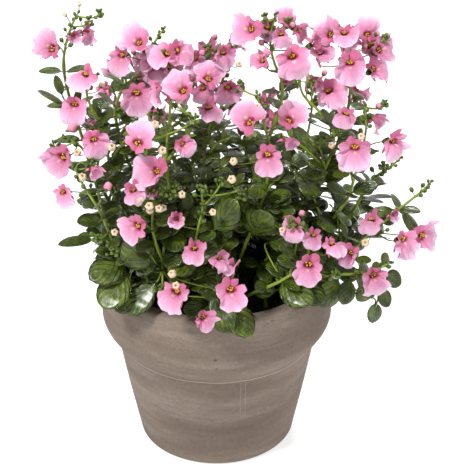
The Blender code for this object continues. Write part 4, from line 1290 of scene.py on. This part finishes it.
def bladePoints(root, heading, normal, length):
    side = heading.cross(normal).normalized()
    spine = [root + heading * length * share for share in (0.35, 0.55, 0.75, 0.95)]
    return spine + [spine[1] + side * length * 0.2, spine[1] - side * length * 0.2]


leafTries = [(size, lift, swing) for size in (1, 0.8, 0.62) for lift in (22, 45, 0)
             for swing in (0, 25, -25, 50, -50)]


def cadLeaves(stem, tree, plan):
    # the leaves that the frame's shoot carries: the same tries, kept where they lie on its solid
    pairs, first, last, compass = plan
    found = []
    for k in range(pairs):
        share = first + (last - first) * k / (pairs - 1)
        root, along = placeAlong(stem, share)
        full = leafValues["length"] * mm * (1 - 0.5 * share)
        for halfTurn in (0, 180):
            best = None
            for size, lift, swing in leafTries:
                out = facing(compass + 90 * k + halfTurn + swing, lift)
                heading = (out + along * 0.15).normalized()
                tip = root + heading * full * size
                off = tree.find_nearest(tip)[3] + 0.5 * tree.find_nearest(root.lerp(tip, 0.6))[3]
                if best is None or off < best[0]:
                    best = (off, heading, full * size)
            if best[0] < 0.0035:
                found.append((root, best[1], bladeNormal(root, along), best[2], share))
    return found


def moundNormal(point):
    # outwards from the leafy mound at this place
    middle, reach = mound
    offset = point - inPlant(middle)
    return Vector([gap / (size * mm) for gap, size in zip(offset, reach)]).normalized()


def bladeNormal(root, along):
    return (moundNormal(root) + upright * 0.55 + along * 0.25).normalized()


def inHollow(point):
    x, y, z = (point - potAxis - upright * compostTop) / mm
    x, y = x / spread, y / spread
    low = hollow["rise"] - hollow["slope"] * (y + hollow["front"])
    if y < -hollow["front"] or y > -hollow["back"]:
        return False
    return abs(x - hollow["middle"]) < hollow["halfWidth"] and z < low or (
        abs(x - hollow["cleft"]) < hollow["cleftHalfWidth"] and z < low + hollow["cleftHeight"])


def insidePot(point):
    # True where a blade would cut the clay or dip under the compost
    offset = point - potAxis
    reach = math.hypot(offset.x, offset.y)
    if reach < rimRadius - 0.0085:
        return offset.z < compostTop + 0.0015
    return reach < rimRadius + 0.0015 and offset.z < potHigh.z + 0.0012


def addLeafIfFree(shoot, root, heading, normal, length, youth, spare):
    points = bladePoints(root, heading, normal, length)
    if any(insidePot(p) or inHollow(p) for p in points) or shoot["room"].taken(points[1:], spare * mm):
        return False
    shoot["room"].add(points)
    addLeaf(shoot["leaves"], root, heading, normal, length, youth, shoot["draw"])
    return True


def growBranch(shoot, root, bend, tip, scale=1.0):
    # a side branch that bends over on its way to the tip, with pairs of leaves that get smaller
    room, draw = shoot["room"], shoot["draw"]
    branch = [root * (1 - t) ** 2 + bend * 2 * t * (1 - t) + tip * t * t for t in fifths]
    if any(insidePot(p) or inHollow(p) for p in branch[1:]):
        return
    if room.taken(branch[3:], growth["branchRoom"] * mm):
        return
    out = tip - root
    compass = math.degrees(math.atan2(out.x, -out.y))
    grown, pairs = 0, growth["branchPairs"]
    for k in range(pairs):
        at, direction = placeAlong(branch, 0.3 + 0.68 * k / (pairs - 1))
        size = leafValues["length"] * mm * scale * (0.92 - 0.17 * k) * draw.uniform(0.8, 1.05)
        youth = 0.15 + 0.13 * k + 0.7 * (1 - scale)
        spare = (growth["roomBetween"] - 0.5 * k) * scale
        for halfTurn in (0, 180):
            leafCompass = compass + 90 * (k + 1) + halfTurn + draw.uniform(-20, 20)
            out = facing(leafCompass, draw.uniform(-20, 25))
            heading = (out + direction * (0.35 + 0.25 * k)).normalized()
            grown += addLeafIfFree(shoot, at, heading, bladeNormal(at, direction), size, youth, spare)
    if grown:
        room.add(branch)
        addTube(shoot["stems"], branch, [r * mm for r in growth["branchRadii"]], 7, 0, shoot["tint"])


def addCluster(shoot, path, amount, depth, turn):
    # green buds in a spiral round the end of a stem, the lower ones bigger and on longer stalks
    draw, whole = shoot["draw"], pathLength(path)
    for k in range(amount):
        down = k / amount
        root, along = placeAlong(path, max(1 - depth / whole * down ** 1.15, 0.05))
        out = facing(137.5 * k + turn, draw.uniform(-5, 35))
        heading = (out * (0.45 + 0.6 * down) + along * 0.8).normalized()
        reach = (0.7 + 3.1 * down) * mm * draw.uniform(0.8, 1.25)
        stalk = [root, root + heading * reach * 0.6, root + heading * reach]
        addTube(shoot["stems"], stalk, [0.3 * mm, 0.26 * mm, 0.24 * mm], 5, 0, 0.45)
        length = (1.9 + 1.7 * down) * mm * draw.uniform(0.85, 1.15)
        addGreenBud(shoot["buds"], stalk[-1], heading, length, draw)
    addGreenBud(shoot["buds"], path[-1], (path[-1] - path[-2]).normalized(), 2.0 * mm, draw)


def planSprigs(stems):
    # short leafy sprigs that fill the mound, each from the nearest stem below it
    draw = random.Random(21)
    sprigs = {name: [] for name in shoots}
    middle, halves = sprigMound
    count, tips = growth["sprigs"], []
    for k in range(count):
        rise, turn = math.asin(0.02 + 0.93 * ((k + 0.5) / count)), k * goldenTurn
        reach = draw.uniform(*growth["sprigReach"])
        way = (math.cos(rise) * math.cos(turn), math.cos(rise) * math.sin(turn), math.sin(rise))
        tips.append((inPlant([m + half * reach * w for m, half, w in zip(middle, halves, way)]), 1.0))
    tips += [(inPlant(point), 0.5) for point in upperSprigs]
    for tip, scale in tips:
        best = None
        for name, stem in stems.items():
            for point in stem[4:]:
                gap = tip - point
                if gap.z > 0.006 and gap.length > 0.012:
                    cost = gap.length + max(0, 0.02 - gap.z)
                    if best is None or cost < best[0]:
                        best = (cost, name, point)
        if best is None or best[0] > 0.055:
            continue
        _, name, root = best
        bend = root.lerp(tip, 0.45) + upright * (0.12 * (tip - root).length)
        sprigs[name].append((root, bend, tip, scale))
    return sprigs


def startShoot(name, number, stem, tree, room):
    # what the steps below share for one shoot: its stem, its own random draws, the shapes it fills
    draw = random.Random(100 + number)
    return {"name": name, "number": number, "stem": stem, "tree": tree, "room": room,
            "whole": pathLength(stem), "draw": draw, "tint": draw.uniform(0.5, 0.95),
            "pairs": shoots[name][2], "leaves": newShape(), "stems": newShape(), "buds": newShape()}


def ownOf(shoot, listed):
    # this shoot's own rows of a list, without its name
    return [row[1:] for row in listed if row[0] == shoot["name"]]


def addStem(shoot, stalks):
    last = len(shoot["stem"]) - 1
    foot, tip = growth["footRadius"], growth["tipRadius"]
    radii = [(foot + (tip - foot) * (k / last) ** growth["taper"]) * mm for k in range(last + 1)]
    radii[-1] *= 0.5
    addTube(shoot["stems"], shoot["stem"], radii, 10, 0, shoot["tint"])
    for path, radius in stalks:
        last = len(path) - 1
        radii = [radius * mm * (1.35 - 0.35 * k / last) for k in range(last + 1)]
        addTube(shoot["stems"], path, radii, 7, 0, shoot["draw"].uniform(0.15, 0.8))


def addStemLeaves(shoot):
    # the leaves of the frame's shoot, then a pair wherever there is room on the way up
    stem, draw = shoot["stem"], shoot["draw"]
    for root, heading, normal, length, share in cadLeaves(stem, shoot["tree"], shoot["pairs"]):
        shoot["room"].add(bladePoints(root, heading, normal, length))
        addLeaf(shoot["leaves"], root, heading, normal, length, 0.15 + 0.5 * share * share, draw)
    leafy, compass = growth["leafyShare"], shoot["pairs"][3]
    pairs = int(shoot["whole"] * leafy / (growth["pairGap"] * mm))
    for k in range(pairs):
        share = 0.09 + (leafy - 0.05) * k / max(pairs - 1, 1)
        root, along = placeAlong(stem, share)
        length = leafValues["length"] * mm * (1.0 - 0.62 * share) * draw.uniform(0.8, 1.1)
        normal, youth = bladeNormal(root, along), 0.1 + 0.6 * share * share
        for halfTurn in (0, 180):
            for swing in (45, 20, 70, -10):
                out = facing(compass + 90 * k + halfTurn + swing, draw.uniform(-15, 30))
                heading = (out + along * 0.2).normalized()
                if addLeafIfFree(shoot, root, heading, normal, length, youth, growth["roomBetween"]):
                    break


def addBranches(shoot, sprigs):
    draw = shoot["draw"]
    for k, share in enumerate(growth["branchShares"]):
        if shoot["whole"] * share < 0.006:
            continue
        root, along = placeAlong(shoot["stem"], share)
        compass = shoot["pairs"][3] + 45 + 137 * k + draw.uniform(-20, 20)
        out = (facing(compass, 38) + along * 0.5).normalized()
        length = growth["branchLength"] * mm * (1.15 - share) * draw.uniform(0.75, 1.1)
        tip = root + out * length + upright * (length * 0.25)
        growBranch(shoot, root, root + out * length * 0.55, tip)
    for root, bend, tip, scale in sprigs:
        growBranch(shoot, root, bend, tip, scale)


def addPlacedLeaves(shoot):
    # the leaves that are listed one by one, and the twig that hangs at the lower right
    for start, end, width, youth in ownOf(shoot, placedLeaves):
        root, tip = inPlant(start), inPlant(end)
        heading, length = (tip - root).normalized(), (tip - root).length
        path = freshStalk(shoot["stem"], root, heading, 4.0)
        addTube(shoot["stems"], path, [0.5 * mm] * len(path), 6, 0, shoot["tint"])
        normal = (moundNormal(root) + Vector((0, -0.35, 0.55))).normalized()
        shoot["room"].add(bladePoints(root, heading, normal, length))
        addLeaf(shoot["leaves"], root, heading, normal, length, youth, shoot["draw"], width, 14)
    for (points,) in ownOf(shoot, [hangingTwig]):
        path = smoothRoute([inPlant(p) for p in points], 5)
        radii = [(0.85 - 0.025 * k) * mm for k in range(len(path))]
        addTube(shoot["stems"], path, radii, 7, 0, shoot["tint"])


def addBuds(shoot):
    # clusters away from the tip, the spike at the tip, and closed coloured buds
    name, stem, draw = shoot["name"], shoot["stem"], shoot["draw"]
    for place, amount in ownOf(shoot, clusters):
        path = freshStalk(stem, inPlant(place), upright, 5.0)
        addTube(shoot["stems"], path, [0.55 * mm] * len(path), 6, 0, draw.uniform(0.45, 0.95))
        addCluster(shoot, path, amount, growth["clusterDepth"] * mm, shoot["number"] * 30)
    amount, depthShare = spikes[name]
    addCluster(shoot, stem, amount, depthShare * shoot["whole"], 40 * shoot["number"])
    for place, length, kind in ownOf(shoot, buds):
        spot = inPlant(place)
        nearest = min(stem[(len(stem) - 1) // 2:], key=lambda p: (p - spot).length)
        along = ((spot - nearest).normalized() * 0.6 + upright * 0.8 + facing(0, 0) * 0.3).normalized()
        base = spot - along * length * 0.37 * mm
        path = freshStalk(stem, base, along, 4.0)
        radius = growth["stalkRadius"] * mm * 0.8
        addTube(shoot["stems"], path, [radius] * len(path), 6, 0, draw.uniform(0.1, 0.5))
        addBud(shoot["buds"], base, along, length * 0.74 * mm, 0 if kind == "cream" else 2, draw)


def buildShoot(shoot, stalks, sprigs):
    addStem(shoot, stalks)
    addStemLeaves(shoot)
    addBranches(shoot, sprigs)
    addPlacedLeaves(shoot)
    addBuds(shoot)
    node = "shoot_" + shoot["name"]
    title = "".join(word.capitalize() for word in shoot["name"].split("_"))
    finishShape("stem" + title, shoot["stems"], [stemFinish], [node])
    finishShape("leaves" + title, shoot["leaves"], leafMaterials, [node])
    finishShape("buds" + title, shoot["buds"], budMaterials, [node])
    return len(shoot["leaves"]["points"])


def buildFlower(name, values, number, replaced=()):
    _, place, share, compass, upwards, lip, openness = values
    draw = random.Random(500 + number)
    half = flowerValues["width"] * mm / 2 * share
    axes = flowerAxes(compass, upwards, lip)
    centre = throatOf(inPlant(place), axes, half)
    corolla, heart = newShape(), newShape()
    addCorolla(corolla, centre, axes, half, openness, draw)
    addHeart(heart, centre, axes, half, draw)
    finishShape("corolla" + name, corolla, [petalFinish], replaced)
    finishShape("heart" + name, heart, heartMaterials, replaced)


def flowerEnd(values):
    _, place, share, compass, upwards, lip, _ = values
    axes = flowerAxes(compass, upwards, lip)
    throat = throatOf(inPlant(place), axes, flowerValues["width"] * mm / 2 * share)
    depth = (flowerValues["throatDepth"] + flowerValues["calyx"]) * mm
    return throat - axes[2] * (depth - 0.0002), axes[2]


def buildPlant():
    stems = {name: stemPath(foot, route) for name, (foot, route, _) in shoots.items()}
    trees = {name: treeOfNode("shoot_" + name) for name in shoots}
    stalks = {name: [] for name in shoots}
    room = Room(0.008)
    for values in cadFlowers.values():
        name, (end, forward) = values[0], flowerEnd(values)
        path = stalkFromCad(stems[name], trees[name], end, forward)
        stalks[name].append((path, growth["stalkRadius"]))
    for values in looseFlowers:
        name, (end, forward) = values[0], flowerEnd(values)
        stalks[name].append((freshStalk(stems[name], end, forward), growth["stalkRadius"] * 0.9))
    for _, place, share, compass, upwards, lip, _ in [*cadFlowers.values(), *looseFlowers]:
        reach = flowerValues["width"] * mm / 2 * share * 0.7
        right, up, _ = flowerAxes(compass, upwards, lip)
        centre = inPlant(place)
        edge = [centre + (right * math.sin(a) + up * math.cos(a)) * reach for a in range(6)]
        room.add([centre, *edge])
    for path in stems.values():
        room.add(path[4:])
    sprigs = planSprigs(stems)
    total = 0
    for number, name in enumerate(shoots):
        shoot = startShoot(name, number, stems[name], trees[name], room)
        total += buildShoot(shoot, stalks[name], sprigs[name])
    print("shoots grown, leaf points:", total)
    for number, (name, values) in enumerate(cadFlowers.items()):
        buildFlower(name[-2:], values, number, [name])
    for number, values in enumerate(looseFlowers):
        buildFlower("More%02d" % (number + 1), values, 100 + number)
    print("flowers open:", len(cadFlowers) + len(looseFlowers))


# Floor, light and camera

studio = {
    "floor": (0.52, 0.52, 0.52), "floorSize": 16, "worldLight": 0.36, "floorGlow": 0.68,
    # the camera stands round a point on the pot's axis and looks at the aim, given from that axis
    "orbitHeight": 120, "aim": (9.5, 6.9, 132.5), "elevation": 28.8, "distance": 0.9, "lens": 115.8,
    # each lamp in metres and watts: place, target, size, power
    "lights": {
        "keyLight": ((-0.9, -0.9, 1.7), (0, 0, 0.15), 0.35, 33),
        "fillLight": ((1.3, -0.9, 0.9), (0, 0, 0.12), 0.9, 6),
        "backLight": ((0.3, 1.0, 1.6), (0, 0, 0.18), 0.4, 22),
    },
}


def buildFloor(values):
    made, tree, shader = newMaterial("paleFloor", 0.85, 0.2)
    shader.inputs["Emission Color"].default_value = (1, 1, 1, 1)
    shader.inputs["Emission Strength"].default_value = values["floorGlow"]
    color, _ = mottled(tree, values["floor"], 3, 0.01)
    tree.links.new(color, shader.inputs["Base Color"])
    half = values["floorSize"] / 2
    corners = [(-half, -half, 0), (half, -half, 0), (half, half, 0), (-half, half, 0)]
    mesh = bpy.data.meshes.new("floor")
    mesh.from_pydata(corners, [], [(0, 1, 2, 3)])
    mesh.materials.append(made)
    floor = bpy.data.objects.new("floor", mesh)
    bpy.context.scene.collection.objects.link(floor)


def addLight(name, place, target, size, power):
    data = bpy.data.lights.new(name, "AREA")
    data.shape = "DISK"
    data.size = size
    data.energy = power
    light = bpy.data.objects.new(name, data)
    light.location = place
    light.rotation_euler = (Vector(target) - Vector(place)).to_track_quat("-Z", "Y").to_euler()
    bpy.context.scene.collection.objects.link(light)


def buildStudio(values):
    scene = bpy.context.scene
    world = bpy.data.worlds.new("studio")
    world.use_nodes = True
    background = world.node_tree.nodes["Background"]
    background.inputs["Color"].default_value = (1, 1, 1, 1)
    background.inputs["Strength"].default_value = values["worldLight"]
    scene.world = world
    scene.view_settings.view_transform = "Standard"
    for name, lamp in values["lights"].items():
        addLight(name, *lamp)
    elevation = math.radians(values["elevation"])
    middle = potAxis + upright * values["orbitHeight"] * mm
    place = middle + Vector((0, -math.cos(elevation), math.sin(elevation))) * values["distance"]
    aim = potAxis + Vector(values["aim"]) * mm
    camera = bpy.data.objects.new("camera", bpy.data.cameras.new("camera"))
    camera.location = place
    camera.rotation_euler = (aim - place).to_track_quat("-Z", "Y").to_euler()
    camera.data.lens = values["lens"]
    camera.data.sensor_width = 36
    camera.data.clip_start = 0.01
    scene.collection.objects.link(camera)
    scene.camera = camera


buildStudio(studio)
buildFloor(studio)
print("studio set")
buildPot(pot)
buildCompost(compost)
print("pot and compost built")
buildPlant()
